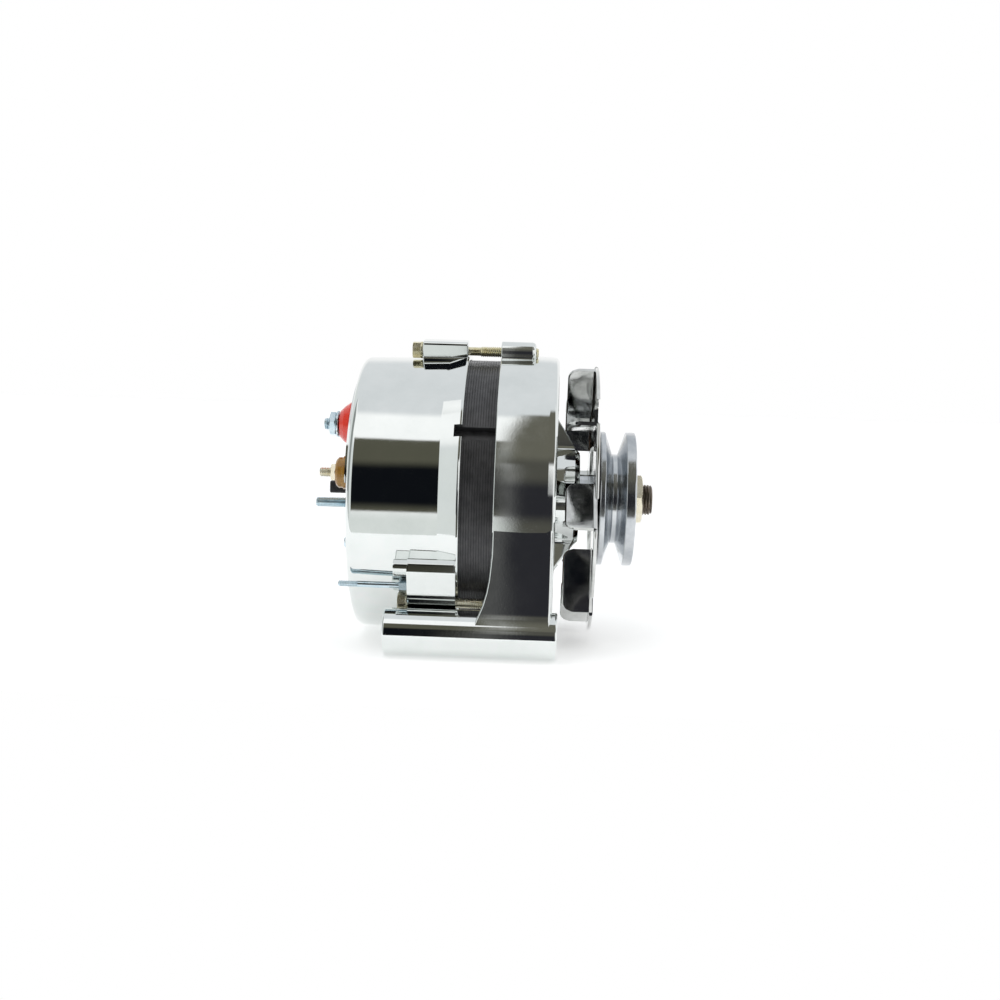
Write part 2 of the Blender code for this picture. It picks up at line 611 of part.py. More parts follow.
def fasteners(frame):
    """Through bolts with washer-faced heads, the long stud, retainer screws and a small cover screw."""
    for k, angle in enumerate(BOLT_ANGLES):
        centre = polar(BOLT_RHO, angle)
        bm = bmesh.new()
        profile = [
            (BOLT_SEAT - 1.5, 0), (BOLT_SEAT - 1.5, 4.2), (BOLT_SEAT - GAP, 4.2), (BOLT_SEAT - GAP, BOLT_R),
            (BOLT_NOSE + 0.6, BOLT_R), (BOLT_NOSE + 1.2, BOLT_R - 0.6), (BOLT_NOSE + 1.2, 0),
        ]
        turned(bm, profile, SMALL, centre)
        bolt = add_object(f"through_bolt_{k + 1}", bm, ("yellow_zinc", YELLOW_ZINC), frame)
        bm = bmesh.new()
        prism(bm, hexagon(centre, 7.6, angle + 30), BOLT_SEAT - 5.4, BOLT_SEAT - 1.0)
        carve(bolt, add_object(f"add_head_{k}", bm, None, frame), "UNION")

    bm = bmesh.new()
    stud = polar(STUD_RHO, STUD_ANGLE)
    rod(bm, BOLT_SEAT + 7.5, STUD_TIP, STUD_R, stud, SMALL, 0.4)
    add_object("long_stud", bm, ("zinc_plate", ZINC), frame)
    seat = BOLT_SEAT
    nut(
        "long_stud_nut", hexagon(stud, 6.0, STUD_ANGLE),
        seat - 4.2, seat - GAP, stud, STUD_R + GAP, ("zinc_plate", ZINC), frame,
    )

    for k, place in enumerate(RETAINER_SCREWS):
        bm = bmesh.new()
        profile = [(-6.0, 0), (-6.0, 2.4), (-4.5, 3.0), (-4.5, 1.4), (4.5, 1.4), (4.5, 0)]
        turned(bm, profile, SMALL, polar(*place))
        add_object(f"retainer_screw_{k + 1}", bm, ("zinc_plate", ZINC), frame)

    bm = bmesh.new()
    seat = REAR_FACE - GAP
    head = [(seat, 3.2), (seat - 1.6, 2.8), (seat - 2.4, 0)]
    turned(bm, [(seat + 4.0, 0), (seat + 4.0, 1.4), (seat, 1.4), *head],
           14, COVER_SCREW)
    add_object("cover_screw", bm, ("zinc_plate", ZINC), frame)


# ---------------------------------------------------------------- terminals

def insulator(name, profile, segments, centre, look, frame):
    """A turned insulator on the terminal pad; profile lists (height above the pad, radius)."""
    face = REAR_FACE - PAD_HEIGHT
    bm = bmesh.new()
    turned(bm, [(face - h, r) for h, r in profile], segments, centre)
    add_object(name, bm, look, frame)


def terminals(frame):
    """Battery, field and ground studs with their insulators and nuts, and the plug block."""
    face = REAR_FACE - PAD_HEIGHT
    zinc = ("zinc_plate", ZINC)
    dome = [(GAP, 3.4), (GAP, 11.0), (1.8, 11.2), (4.6, 9.2), (6.6, 7.4), (7.2, 6.4), (7.2, 3.4)]
    insulator("battery_insulator", dome, MIDDLE, BATTERY, ("red_plastic", RED_PLASTIC), frame)
    collar = [(GAP, 2.7), (GAP, 8.1), (5.0, 8.1), (6.0, 6.8), (6.0, 2.7)]
    insulator("field_insulator", collar, 20, FIELD, ("amber_plastic", AMBER_PLASTIC), frame)
    for name, centre, r, base, tip in (
        ("battery_stud", BATTERY, 3.0, POSITIVE_SINK + 4.0, -116.2),
        ("field_stud", FIELD, 2.3, REAR_FACE + 6.0, -115.6),
        ("ground_stud", GROUND, 2.4, REAR_FACE + 6.0, -116.6),
    ):
        bm = bmesh.new()
        rod(bm, base, tip, r, centre, SMALL, 0.5)
        add_object(name, bm, zinc, frame)
    bm = bmesh.new()
    tube(bm, face - 8.7, face - 7.5, 3.4, 6.6, BATTERY, 16)
    add_object("battery_washer", bm, zinc, frame)
    nut("battery_nut", hexagon(BATTERY, 11.0, 10.0), face - 12.0, face - 9.0, BATTERY, 3.4, zinc, frame)
    nut("field_nut", hexagon(FIELD, 8.0, 5.0), face - 8.6, face - 6.3, FIELD, 2.6, zinc, frame)
    nut("ground_nut", hexagon(GROUND, 9.0, 20.0), REAR_FACE - 2.7, REAR_FACE - GAP, GROUND, 2.7, zinc, frame)

    bm = bmesh.new()
    prism(bm, [(-27.0, 0.6), (-27.0, 6.6), (-15.6, 6.6), (-15.6, 0.6)], -113.2, REAR_FACE - GAP)
    shell = add_object("plug_block", bm, ("black_plastic", BLACK_PLASTIC), frame)
    bm = bmesh.new()
    prism(bm, [(-26.0, 1.7), (-26.0, 5.5), (-16.6, 5.5), (-16.6, 1.7)], -114.5, -104.0)
    carve(shell, add_object("cut_plug", bm, None, frame))
    bm = bmesh.new()
    block(bm, (-111.5, -24.6, 3.2), (-104.0 - GAP, -18.4, 4.0))
    add_object("plug_blade", bm, zinc, frame)


# ---------------------------------------------------------------- rectifier and brush gear

def electrics(frame):
    """Rectifier plates with their diodes, the regulator, the brush holder, and two sprung brushes."""
    inside = REAR_FACE + WALL + GAP
    steel = ("bearing_steel", STEEL)
    bm = bmesh.new()
    prism(bm, sector(46.5, 62.5, 70.0, 168.0, 12), inside, inside + 2.0)
    add_object("heat_sink_negative", bm, ("cast_aluminium", ALUMINIUM), frame)
    bm = bmesh.new()
    prism(bm, sector(38.0, 62.5, 42.0, 176.0, 14), POSITIVE_SINK, POSITIVE_SINK + 2.0)
    sink = add_object("heat_sink_positive", bm, ("cast_aluminium", ALUMINIUM), frame)
    bm = bmesh.new()
    rod(bm, POSITIVE_SINK - 1, POSITIVE_SINK + 3, 3.1, BATTERY, SMALL)
    carve(sink, add_object("cut_sink", bm, None, frame))
    seats = (("negative", inside + 2.0 + GAP, 82.0), ("positive", POSITIVE_SINK + 2.0 + GAP, 86.0))
    for name, x, first in seats:
        for k in range(3):
            bm = bmesh.new()
            rod(bm, x, x + 4.2, 5.2, polar(54.5, first + 36 * k), MIDDLE - 6)
            add_object(f"diode_{name}_{k + 1}", bm, steel, frame)
    bm = bmesh.new()
    prism(bm, sector(24.0, 58.0, 196.0, 236.0, 6), inside, inside + 10.0)
    add_object("regulator", bm, ("black_plastic", BLACK_PLASTIC), frame)

    bm = bmesh.new()
    prism(bm, [(-10.0, -19.0), (10.0, -19.0), (10.0, -48.0), (-10.0, -48.0)], -86.0, -67.5)
    holder = add_object("brush_holder", bm, ("black_plastic", BLACK_PLASTIC), frame)
    bm = bmesh.new()
    for x in BRUSH_X:
        block(bm, (x - 2.4, -3.4, -45.0), (x + 2.4, 3.4, -18.0))
    carve(holder, add_object("cut_holder", bm, None, frame))
    for name, x in zip(("inner", "outer"), BRUSH_X):
        bm = bmesh.new()
        block(bm, (x - 2.1, -3.0, -30.0), (x + 2.1, 3.0, -14.3))
        add_object(f"{name}_brush", bm, ("carbon", CARBON), frame)
        coil(f"{name}_brush_spring", x, -44.6, -30.4, frame)
    for name, y in (("left", -6.8), ("right", 6.8)):
        bm = bmesh.new()
        rod(bm, REAR_FACE + WALL + GAP, -86.0 - GAP, 1.6, (y, -30.0), 12)
        add_object(f"brush_holder_post_{name}", bm, ("zinc_plate", ZINC), frame)


def coil(name, x, z0, z1, frame):
    """A compression spring standing along Z, as a swept four-sided wire."""
    turns, wire, r, steps, sides = 4, 0.35, 1.5, 8, 4
    total = turns * steps
    rise = (z1 - z0 - 2 * wire) / total
    rings = []
    for i in range(total + 1):
        a = 2 * math.pi * i / steps
        outward = Vector((math.cos(a), math.sin(a), 0))
        centre = Vector((x, 0, z0 + wire + rise * i)) + outward * r
        corners = [2 * math.pi * k / sides for k in range(sides)]
        rings.append([centre + wire * (outward * math.cos(b) + Vector((0, 0, math.sin(b)))) for b in corners])
    bm = bmesh.new()
    loft(bm, rings)
    add_object(name, bm, ("spring_steel", STEEL), frame)


def main():
    frame, rotor = start()
    front_housing(frame)
    rear_housing(frame)
    stator(frame)
    rotor_parts(rotor)
    bearings(frame, rotor)
    fasteners(frame)
    terminals(frame)
    electrics(frame)


main()
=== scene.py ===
"""Looks of the car alternator: the fine surface, materials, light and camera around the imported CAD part.

Shapes are drawn in millimetres in the shaft frame: +X along the shaft towards the pulley, x = 0 on the
front rim of the drum, angles counted from -Y (0 degrees, the near side) up to +Z (90 degrees).
"""

import math

import bmesh
import bpy
from mathutils import Matrix, Vector


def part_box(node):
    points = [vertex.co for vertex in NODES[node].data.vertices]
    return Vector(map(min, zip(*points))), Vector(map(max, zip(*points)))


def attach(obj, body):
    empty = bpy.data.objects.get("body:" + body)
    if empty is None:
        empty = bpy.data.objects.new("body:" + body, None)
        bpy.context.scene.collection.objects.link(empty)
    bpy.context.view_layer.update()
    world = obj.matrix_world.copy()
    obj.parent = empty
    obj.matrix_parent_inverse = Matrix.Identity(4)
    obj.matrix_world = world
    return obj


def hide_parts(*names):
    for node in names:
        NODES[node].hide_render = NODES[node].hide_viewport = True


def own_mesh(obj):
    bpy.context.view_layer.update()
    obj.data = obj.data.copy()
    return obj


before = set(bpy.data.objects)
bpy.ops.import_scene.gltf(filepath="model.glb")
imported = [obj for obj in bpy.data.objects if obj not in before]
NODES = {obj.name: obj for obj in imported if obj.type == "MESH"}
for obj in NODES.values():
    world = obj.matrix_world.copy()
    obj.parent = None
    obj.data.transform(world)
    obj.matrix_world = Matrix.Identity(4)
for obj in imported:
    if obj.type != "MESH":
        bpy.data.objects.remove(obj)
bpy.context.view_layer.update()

MM = 0.001
FINE = 192

# Sizes that the CAD part fixes, in the shaft frame
SHAFT_FRONT = 49.8
DRUM_R, DRUM_REAR = 72.2, -29.5
STATOR_R, STATOR_REAR, STATOR_FRONT = 69.2, -49.5, -25.5
RIM_FRONT, RIM_REAR = -45.3, -55.5
BODY_R_FRONT, BODY_R_REAR, REAR_FACE = 70.7, 69.3, -99.3
PIVOT_ANGLE, PIVOT_RHO, PIVOT_R, PIVOT_BORE_R = -42.0, 91.0, 11.5, 5.2
TUBE_REAR, TUBE_FRONT, WEB_REAR = -79.5, 2.5, -38.0
EAR_ANGLE, EAR_RHO, EAR_R, EAR_BORE_R, EAR_REAR, EAR_FRONT = 140.0, 84.0, 10.5, 4.2, -15.0, -2.0
BOLT_RHO, BOLT_ANGLES, BOLT_R, BOLT_SEAT, BOLT_NOSE = 74.6, (80.0, -40.0, 200.0), 2.6, -69.0, -12.0
WING_REAR = -75.5
STUD_ANGLE, STUD_RHO, STUD_R, STUD_TIP = -32.0, 74.4, 1.5, -102.3
RIBS, RIB_ANGLE = 5, 11.0
NOTCH_ANGLE, NOTCH_WIDTH, NOTCH_DEPTH = 29.3, 6.4, 4.5
NOSE_R, NOSE_FRONT = 23.6, 12.0
FAN_R, BLADES, BLADE_ANGLE = 68.0, 8, 1.0
BLADE_SLANT, BLADE_LENGTH, BLADE_MIDDLE_R, BLADE_DEPTH = 38.8, 31.0, 54.2, 13.7
FAN_PLATE, FAN_SHEET, FAN_RAISED = 18.2, 1.8, 1.7
PULLEY_REAR, PULLEY_FRONT, PULLEY_R, GROOVE_R = 22.0, 40.0, 34.5, 23.0
GROOVE_CENTRE, GROOVE_TOP, GROOVE_FLOOR = 29.9, 10.4, 2.6
BATTERY, FIELD, GROUND, COVER_SCREW = (-26.9, 35.2), (-42.6, 12.1), (-44.4, -2.4), (-52.0, -20.8)
PAD_FACE = REAR_FACE - 2.0
TERMINAL_HOLES = ((BATTERY, 4.6), (FIELD, 3.9), (GROUND, 2.8))
WINDOW_HALF = 9.4  # half width of a rear air window, in degrees

# The view: from the near side, a little above and towards the pulley
VIEW_AIM = (-28.6, 0.0, -2.6)
VIEW_DISTANCE, VIEW_AROUND, VIEW_ABOVE, VIEW_ROLL = 0.692, 2.0, 5.0, 1.72
SENSOR_WIDTH, FOCAL_PER_WIDTH = 36.0, 1.3308
FLOOR_REACH, FLOOR_FRONT = 6.0, 0.165

shaft_low, shaft_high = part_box("rotor_shaft")
ORIGIN = Vector((
    shaft_high.x - SHAFT_FRONT * MM,
    (shaft_low.y + shaft_high.y) / 2,
    (shaft_low.z + shaft_high.z) / 2,
))


# ---------------------------------------------------------------- shape helpers

def polar(rho, degrees):
    """The (y, z) of a point at a radius and an angle about the shaft."""
    a = math.radians(degrees)
    return -rho * math.cos(a), rho * math.sin(a)


def rounded(corners, steps=6):
    """A list of (x, r) from (x, r, fillet radius) corners, each fillet replaced by points on its arc."""
    made = []
    count = len(corners)
    for i, (x, r, fillet) in enumerate(corners):
        here = Vector((x, r))
        if fillet <= 0:
            made.append((x, r))
            continue
        before = Vector(corners[i - 1][:2]) - here
        after = Vector(corners[(i + 1) % count][:2]) - here
        bend = before.angle(after)
        reach = min(fillet / math.tan(bend / 2), 0.48 * before.length, 0.48 * after.length)
        radius = reach * math.tan(bend / 2)
        middle = (before.normalized() + after.normalized()).normalized()
        centre = here + middle * (radius / math.sin(bend / 2))
        start = here + before.normalized() * reach - centre
        end = here + after.normalized() * reach - centre
        turn = start.angle_signed(end)
        for k in range(steps + 1):
            a = -turn * k / steps
            point = centre + Vector((
                start.x * math.cos(a) - start.y * math.sin(a),
                start.x * math.sin(a) + start.y * math.cos(a),
            ))
            made.append((point.x, point.y))
    return made


def lathe(bm, profile, segments, centre=(0, 0), phase=0.5):
    """Adds a closed solid turned about an X axis through centre = (y, z)."""
    rings = []
    for x, r in profile:
        if r < 1e-6:
            rings.append([bm.verts.new((x, centre[0], centre[1]))])
            continue
        ring = []
        for i in range(segments):
            a = 2 * math.pi * (i + phase) / segments
            ring.append(bm.verts.new((x, centre[0] - r * math.cos(a), centre[1] + r * math.sin(a))))
        rings.append(ring)
    for k, ring in enumerate(rings):
        other = rings[(k + 1) % len(rings)]
        for i in range(segments):
            j = (i + 1) % segments
            corners = [ring[i % len(ring)], ring[j % len(ring)], other[j % len(other)], other[i % len(other)]]
            unique = list(dict.fromkeys(corners))
            if len(unique) > 2:
                bm.faces.new(unique)


def threaded(bm, x0, x1, r, pitch, depth, centre=(0, 0), segments=28, tip=0.6):
    """Adds a screw thread as a closed solid: the radius runs down and up once a pitch, along a helix."""
    steps = max(2, int(round((x1 - x0) / pitch * 6)))
    rings = [[bm.verts.new((x0, centre[0], centre[1]))]]
    for k in range(steps + 1):
        x = x0 + (x1 - x0) * k / steps
        edge = min(1.0, (k / steps) * (x1 - x0) / tip, (1 - k / steps) * (x1 - x0) / tip)
        ring = []
        for i in range(segments):
            a = 2 * math.pi * i / segments
            share = (x / pitch + i / segments) % 1.0
            groove = depth * (1 - abs(2 * share - 1) * 1.25)
            here = r - max(0.0, min(depth, groove)) - depth * (1 - edge)
            ring.append(bm.verts.new((x, centre[0] - here * math.cos(a), centre[1] + here * math.sin(a))))
        rings.append(ring)
    rings.append([bm.verts.new((x1, centre[0], centre[1]))])
    for one, other in zip(rings, rings[1:]):
        for i in range(segments):
            j = (i + 1) % segments
            corners = [one[i % len(one)], one[j % len(one)], other[j % len(other)], other[i % len(other)]]
            bm.faces.new(list(dict.fromkeys(corners)))


def prism(bm, outline, x0, x1, bevel=0.0, steps=3):
    """Adds a solid with a flat (y, z) outline from x0 to x1, its two end rims rounded."""
    low = [bm.verts.new((x0, y, z)) for y, z in outline]
    high = [bm.verts.new((x1, y, z)) for y, z in outline]
    caps = [bm.faces.new(low), bm.faces.new(list(reversed(high)))]
    for i in range(len(low)):
        j = (i + 1) % len(low)
        bm.faces.new((low[j], low[i], high[i], high[j]))
    if bevel:
        rims = list({edge for cap in caps for edge in cap.edges})
        bmesh.ops.bevel(bm, geom=rims, offset=bevel, segments=steps, profile=0.5, affect="EDGES",
                        clamp_overlap=True)


def loft(bm, rings):
    """Adds a closed solid skinned over rings that all have the same number of points."""
    made = [[bm.verts.new(point) for point in ring] for ring in rings]
    for one, other in zip(made, made[1:]):
        for i in range(len(one)):
            j = (i + 1) % len(one)
            bm.faces.new((one[i], one[j], other[j], other[i]))
    bm.faces.new(made[0])
    bm.faces.new(list(reversed(made[-1])))


def block(bm, low, high, bevel=0.0, turn=0.0):
    """Adds a box between two corners, its edges rounded, turned about the shaft by an angle in degrees."""
    made = bmesh.ops.create_cube(bm, size=1.0)["verts"]
    bmesh.ops.scale(bm, vec=[h - l for l, h in zip(low, high)], verts=made)
    bmesh.ops.translate(bm, vec=[(l + h) / 2 for l, h in zip(low, high)], verts=made)
    if bevel:
        edges = list({edge for vert in made for edge in vert.link_edges})
        grown = bmesh.ops.bevel(bm, geom=edges, offset=bevel, segments=3, profile=0.5, affect="EDGES")
        made = grown["verts"]
    if turn:
        bmesh.ops.rotate(bm, verts=made, cent=(0, 0, 0), matrix=Matrix.Rotation(math.radians(-turn), 3, "X"))


def arc_points(centre, r, start, end, count):
    """Points on an arc about centre, its angles counted as for polar()."""
    made = []
    for i in range(count):
        y, z = polar(r, start + (end - start) * i / (count - 1))
        made.append((centre[0] + y, centre[1] + z))
    return made


def between(stops, value):
    """The place at a height, on straight lines between (z, place) stops listed from the top down."""
    for (z0, a), (z1, b) in zip(stops, stops[1:]):
        if value >= z1:
            return a + (b - a) * max(0.0, (z0 - value) / (z0 - z1))
    return stops[-1][1]


def sector(r_in, r_out, start, end, count=24):
    """The outline of a sector of a ring about the shaft."""
    return arc_points((0, 0), r_out, start, end, count) + arc_points((0, 0), r_in, end, start, count)


def hexagon(centre, across_flats, turn=0.0):
    """A hexagon's outline, one corner at the angle turn."""
    r = across_flats / math.sqrt(3)
    return [(centre[0] + polar(r, turn + 60 * k)[0],
             centre[1] + polar(r, turn + 60 * k)[1]) for k in range(6)]


def turn_about_shaft(bm, degrees):
    """Turns everything drawn at angle 0 to another angle."""
    turn = Matrix.Rotation(math.radians(-degrees), 3, "X")
    bmesh.ops.rotate(bm, verts=bm.verts, cent=(0, 0, 0), matrix=turn)


def mesh_from(bm, name="work"):
    """Moves a bmesh into a new mesh, its faces turned outwards."""
    bmesh.ops.recalc_face_normals(bm, faces=bm.faces)
    mesh = bpy.data.meshes.new(name)
    bm.to_mesh(mesh)
    bm.free()
    return mesh


def combined(base, tool, operation):
    """The exact Boolean of two bmeshes, as a new bmesh."""
    one = bpy.data.objects.new("base", mesh_from(base))
    two = bpy.data.objects.new("tool", mesh_from(tool))
    for made in (one, two):
        bpy.context.scene.collection.objects.link(made)
    modifier = one.modifiers.new("work", "BOOLEAN")
    modifier.operation = operation
    modifier.solver = "EXACT"
    modifier.object = two
    bpy.context.view_layer.update()
    evaluated = one.evaluated_get(bpy.context.evaluated_depsgraph_get())
    result = bmesh.new()
    result.from_mesh(evaluated.to_mesh())
    evaluated.to_mesh_clear()
    for made in (one, two):
        mesh = made.data
        bpy.data.objects.remove(made)
        bpy.data.meshes.remove(mesh)
    return result


def nut_shape(centre, across_flats, x0, x1, bore, turn=0.0, both=True):
    """A hexagon nut: corners turned down at one or both ends, and a chamfered bore if it has one."""
    low, high = min(x0, x1), max(x0, x1)
    prism_bm = bmesh.new()
    prism(prism_bm, hexagon(centre, across_flats, turn), low, high)
    corner = across_flats / math.sqrt(3)
    drop = (corner - across_flats / 2) * 0.62
    flat = across_flats / 2 * 0.98
    turned = bmesh.new()
    first = flat if both or x0 < x1 else corner + 0.2
    last = flat if both or x0 > x1 else corner + 0.2
    profile = [(low - 0.01, 0), (low - 0.01, first), (low + drop, corner + 0.2), (high - drop, corner + 0.2),
               (high + 0.01, last), (high + 0.01, 0)]
    lathe(turned, profile, 48, centre)
    made = combined(prism_bm, turned, "INTERSECT")
    if bore:
        hole = bmesh.new()
        lathe(hole, [(low - 1, 0), (low - 1, bore + 1.6), (low + 0.6, bore), (high - 0.6, bore),
                     (high + 1, bore + 1.6), (high + 1, 0)], 32, centre)
        made = combined(made, hole, "DIFFERENCE")
    return made


def piece(name, shells, look, body, replaces=(), sharp=32, weighted=True):
    """One shown object from closed shells drawn in the shaft frame, riding on a CAD body."""
    joined = bmesh.new()
    for shell in shells:
        bmesh.ops.recalc_face_normals(shell, faces=shell.faces)
        mesh = bpy.data.meshes.new("shell")
        shell.to_mesh(mesh)
        shell.free()
        joined.from_mesh(mesh)
        bpy.data.meshes.remove(mesh)
    bmesh.ops.scale(joined, vec=(MM, MM, MM), verts=joined.verts)
    bmesh.ops.translate(joined, vec=ORIGIN, verts=joined.verts)
    mesh = bpy.data.meshes.new(name)
    joined.to_mesh(mesh)
    joined.free()
    mesh.shade_smooth()
    mesh.set_sharp_from_angle(angle=math.radians(sharp))
    mesh.materials.append(look)
    made = bpy.data.objects.new(name, mesh)
    bpy.context.scene.collection.objects.link(made)
    if weighted:
        modifier = made.modifiers.new("weighted", "WEIGHTED_NORMAL")
        modifier.keep_sharp = True
        modifier.weight = 100
    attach(made, body)
    if replaces:
        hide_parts(*replaces)
    return made


# ---------------------------------------------------------------- materials

def ramp(tree, fac, stops):
    """A colour ramp with the given (place, colour) stops."""
    node = tree.nodes.new("ShaderNodeValToRGB")
    while len(node.color_ramp.elements) < len(stops):
        node.color_ramp.elements.new(0.5)
    for element, (place, colour) in zip(node.color_ramp.elements, stops):
        element.position = place
        element.color = (*colour, 1) if len(colour) == 3 else colour
    tree.links.new(fac, node.inputs["Fac"])
    return node.outputs["Color"]


def maths(tree, operation, a, b=None, c=None):
    """A math node on sockets or numbers."""
    node = tree.nodes.new("ShaderNodeMath")
    node.operation = operation
    for socket, value in zip(node.inputs, (a, b, c)):
        if value is None:
            continue
        if isinstance(value, (int, float)):
            socket.default_value = value
        else:
            tree.links.new(value, socket)
    return node.outputs[0]


def noise(tree, vector, scale, detail=4.0, rough=0.5):
    """A noise texture's value."""
    node = tree.nodes.new("ShaderNodeTexNoise")
    node.inputs["Scale"].default_value = scale
    node.inputs["Detail"].default_value = detail
    node.inputs["Roughness"].default_value = rough
    tree.links.new(vector, node.inputs["Vector"])
    return node.outputs["Fac"]


def spread(tree, value, low, high):
    """Stretches the middle of a noise value over low to high."""
    node = tree.nodes.new("ShaderNodeMapRange")
    node.inputs["From Min"].default_value = 0.3
    node.inputs["From Max"].default_value = 0.7
    node.inputs["To Min"].default_value = low
    node.inputs["To Max"].default_value = high
    tree.links.new(value, node.inputs["Value"])
    return node.outputs[0]


def turning_vector(tree, coordinates, centre=(0, 0)):
    """Coordinates that change only along and outwards from an X axis, for lathe marks."""
    split = tree.nodes.new("ShaderNodeSeparateXYZ")
    tree.links.new(coordinates, split.inputs[0])
    y = maths(tree, "SUBTRACT", split.outputs["Y"], ORIGIN.y + centre[0] * MM)
    z = maths(tree, "SUBTRACT", split.outputs["Z"], ORIGIN.z + centre[1] * MM)
    square = maths(tree, "ADD", maths(tree, "MULTIPLY", y, y), maths(tree, "MULTIPLY", z, z))
    radius = maths(tree, "SQRT", square)
    join = tree.nodes.new("ShaderNodeCombineXYZ")
    tree.links.new(split.outputs["X"], join.inputs["X"])
    tree.links.new(radius, join.inputs["Y"])
    return join.outputs[0]


def finish(name, tints, roughness, metallic=1.0, scale=60.0, bump=0.0, bump_scale=400.0, lathe_marks=0.0,
           marks_scale=1500.0, wave=0.0, wave_scale=22.0, coat=0.0, specks=None, centre=(0, 0)):
    """A material whose colour, roughness and surface all vary at the scale of the real finish, except the
    chrome sheet, whose darker colour blotches are painted reflections.
    """
    made = bpy.data.materials.new(name)
    made.use_nodes = True
    tree = made.node_tree
    shader = tree.nodes["Principled BSDF"]
    shader.inputs["Metallic"].default_value = metallic
    if coat:
        shader.inputs["Coat Weight"].default_value = coat
        shader.inputs["Coat Roughness"].default_value = 0.08
    where = tree.nodes.new("ShaderNodeTexCoord").outputs["Object"]
    cloud = noise(tree, where, scale, 5.0, 0.6)
    stops = [(0.3 + 0.4 * k / max(1, len(tints) - 1), tint) for k, tint in enumerate(tints)]
    colour = ramp(tree, cloud, stops)
    if specks:
        grain = noise(tree, where, specks[0], 3.0, 0.6)
        mask = ramp(tree, grain, [(specks[1], (0, 0, 0)), (specks[1] + 0.06, (1, 1, 1))])
        mix = tree.nodes.new("ShaderNodeMix")
        mix.data_type = "RGBA"
        tree.links.new(mask, mix.inputs["Factor"])
        tree.links.new(colour, mix.inputs["A"])
        mix.inputs["B"].default_value = (*specks[2], 1)
        colour = mix.outputs["Result"]
    tree.links.new(colour, shader.inputs["Base Color"])
    patches = noise(tree, where, scale * 2.3, 4.0, 0.55)
    rough = spread(tree, patches, *roughness)
    height = None
    if lathe_marks:
        rings = noise(tree, turning_vector(tree, where, centre), marks_scale, 2.0, 0.5)
        height = maths(tree, "MULTIPLY", rings, lathe_marks)
        rough = maths(tree, "ADD", rough, maths(tree, "MULTIPLY", rings, 0.08))
    if bump:
        grain = maths(tree, "MULTIPLY", noise(tree, where, bump_scale, 4.0, 0.6), bump)
        height = grain if height is None else maths(tree, "ADD", height, grain)
    if wave:
        swell = maths(tree, "MULTIPLY", noise(tree, where, wave_scale, 1.0, 0.4), wave)
        height = swell if height is None else maths(tree, "ADD", height, swell)
    tree.links.new(rough, shader.inputs["Roughness"])
    if height is not None:
        node = tree.nodes.new("ShaderNodeBump")
        node.inputs["Strength"].default_value = 1.0
        node.inputs["Distance"].default_value = 1.0
        tree.links.new(height, node.inputs["Height"])
        tree.links.new(node.outputs[0], shader.inputs["Normal"])
    return made


CHROME = finish("chrome_casting", [(0.755, 0.785, 0.775), (0.82, 0.845, 0.835)], (0.03, 0.075),
                wave=0.0006, wave_scale=16.0, bump=0.0000035, bump_scale=900.0)
# Chrome sheet for the fan: the chrome's own colour, made darker and blotched with dark and light patches that
# are painted reflections of dark surroundings.
SHEET_WITH_PAINTED_REFLECTIONS = finish("chrome_sheet", [(0.52, 0.53, 0.51), (0.66, 0.67, 0.66), (0.76, 0.77, 0.76)], (0.05, 0.16),
               scale=70.0, wave=0.0013, wave_scale=42.0, bump=0.000012, bump_scale=600.0)
STEEL = finish("machined_steel", [(0.42, 0.45, 0.48), (0.68, 0.70, 0.72)], (0.07, 0.17),
               lathe_marks=0.00002, marks_scale=1800.0, bump=0.000003, bump_scale=1500.0)
SHAFT = finish("shaft_steel", [(0.11, 0.09, 0.075), (0.26, 0.23, 0.20)], (0.22, 0.4), scale=120.0,
               bump=0.000008, bump_scale=900.0)
BEARING = finish("bearing_steel", [(0.58, 0.59, 0.6), (0.68, 0.69, 0.7)], (0.12, 0.2), bump=0.000002)
POLE = finish("pole_steel", [(0.11, 0.09, 0.075), (0.19, 0.17, 0.15)], (0.38, 0.55), metallic=0.7, scale=90.0,
              bump=0.00006, bump_scale=500.0)
YELLOW = finish("yellow_zinc", [(0.66, 0.58, 0.33), (0.78, 0.73, 0.50), (0.72, 0.66, 0.60)], (0.2, 0.34),
                scale=260.0,
                bump=0.000008, bump_scale=1200.0)
CREAM = finish("cream_zinc", [(0.74, 0.68, 0.50), (0.84, 0.80, 0.68)], (0.18, 0.3), scale=200.0,
               bump=0.000006, bump_scale=1200.0)
ZINC = finish("zinc_plate", [(0.50, 0.64, 0.72), (0.70, 0.80, 0.85)], (0.14, 0.24), scale=220.0,
              bump=0.000006, bump_scale=1200.0)
LAMINATION = finish("lamination_steel", [(0.06, 0.06, 0.063), (0.11, 0.11, 0.115)], (0.28, 0.45),
                    metallic=0.6,
                    scale=150.0, bump=0.00002, bump_scale=900.0)
COPPER = finish("copper_winding", [(0.42, 0.16, 0.06), (0.62, 0.29, 0.12)], (0.25, 0.4), metallic=0.85,
                scale=200.0,
                lathe_marks=0.0002, marks_scale=900.0, coat=0.4)
ALUMINIUM = finish("cast_aluminium", [(0.5, 0.51, 0.52), (0.62, 0.63, 0.64)], (0.35, 0.5), bump=0.00004,
                   bump_scale=800.0)
BLACK = finish("black_plastic", [(0.012, 0.012, 0.014), (0.028, 0.028, 0.03)], (0.32, 0.48), metallic=0.0,
               scale=300.0,
               bump=0.00002, bump_scale=1800.0)
RED = finish("red_plastic", [(0.80, 0.025, 0.012), (0.92, 0.05, 0.02)], (0.2, 0.32), metallic=0.0,
             scale=150.0,
             bump=0.000012, bump_scale=900.0, coat=0.35)
AMBER = finish("amber_plastic", [(0.30, 0.13, 0.02), (0.50, 0.28, 0.05)], (0.2, 0.34), metallic=0.0,
               scale=180.0,
               bump=0.000015, bump_scale=900.0, coat=0.4)
CARBON = finish("carbon", [(0.035, 0.033, 0.032), (0.07, 0.062, 0.055)], (0.45, 0.6), metallic=0.3,
                scale=400.0,
                bump=0.00002, bump_scale=2500.0)
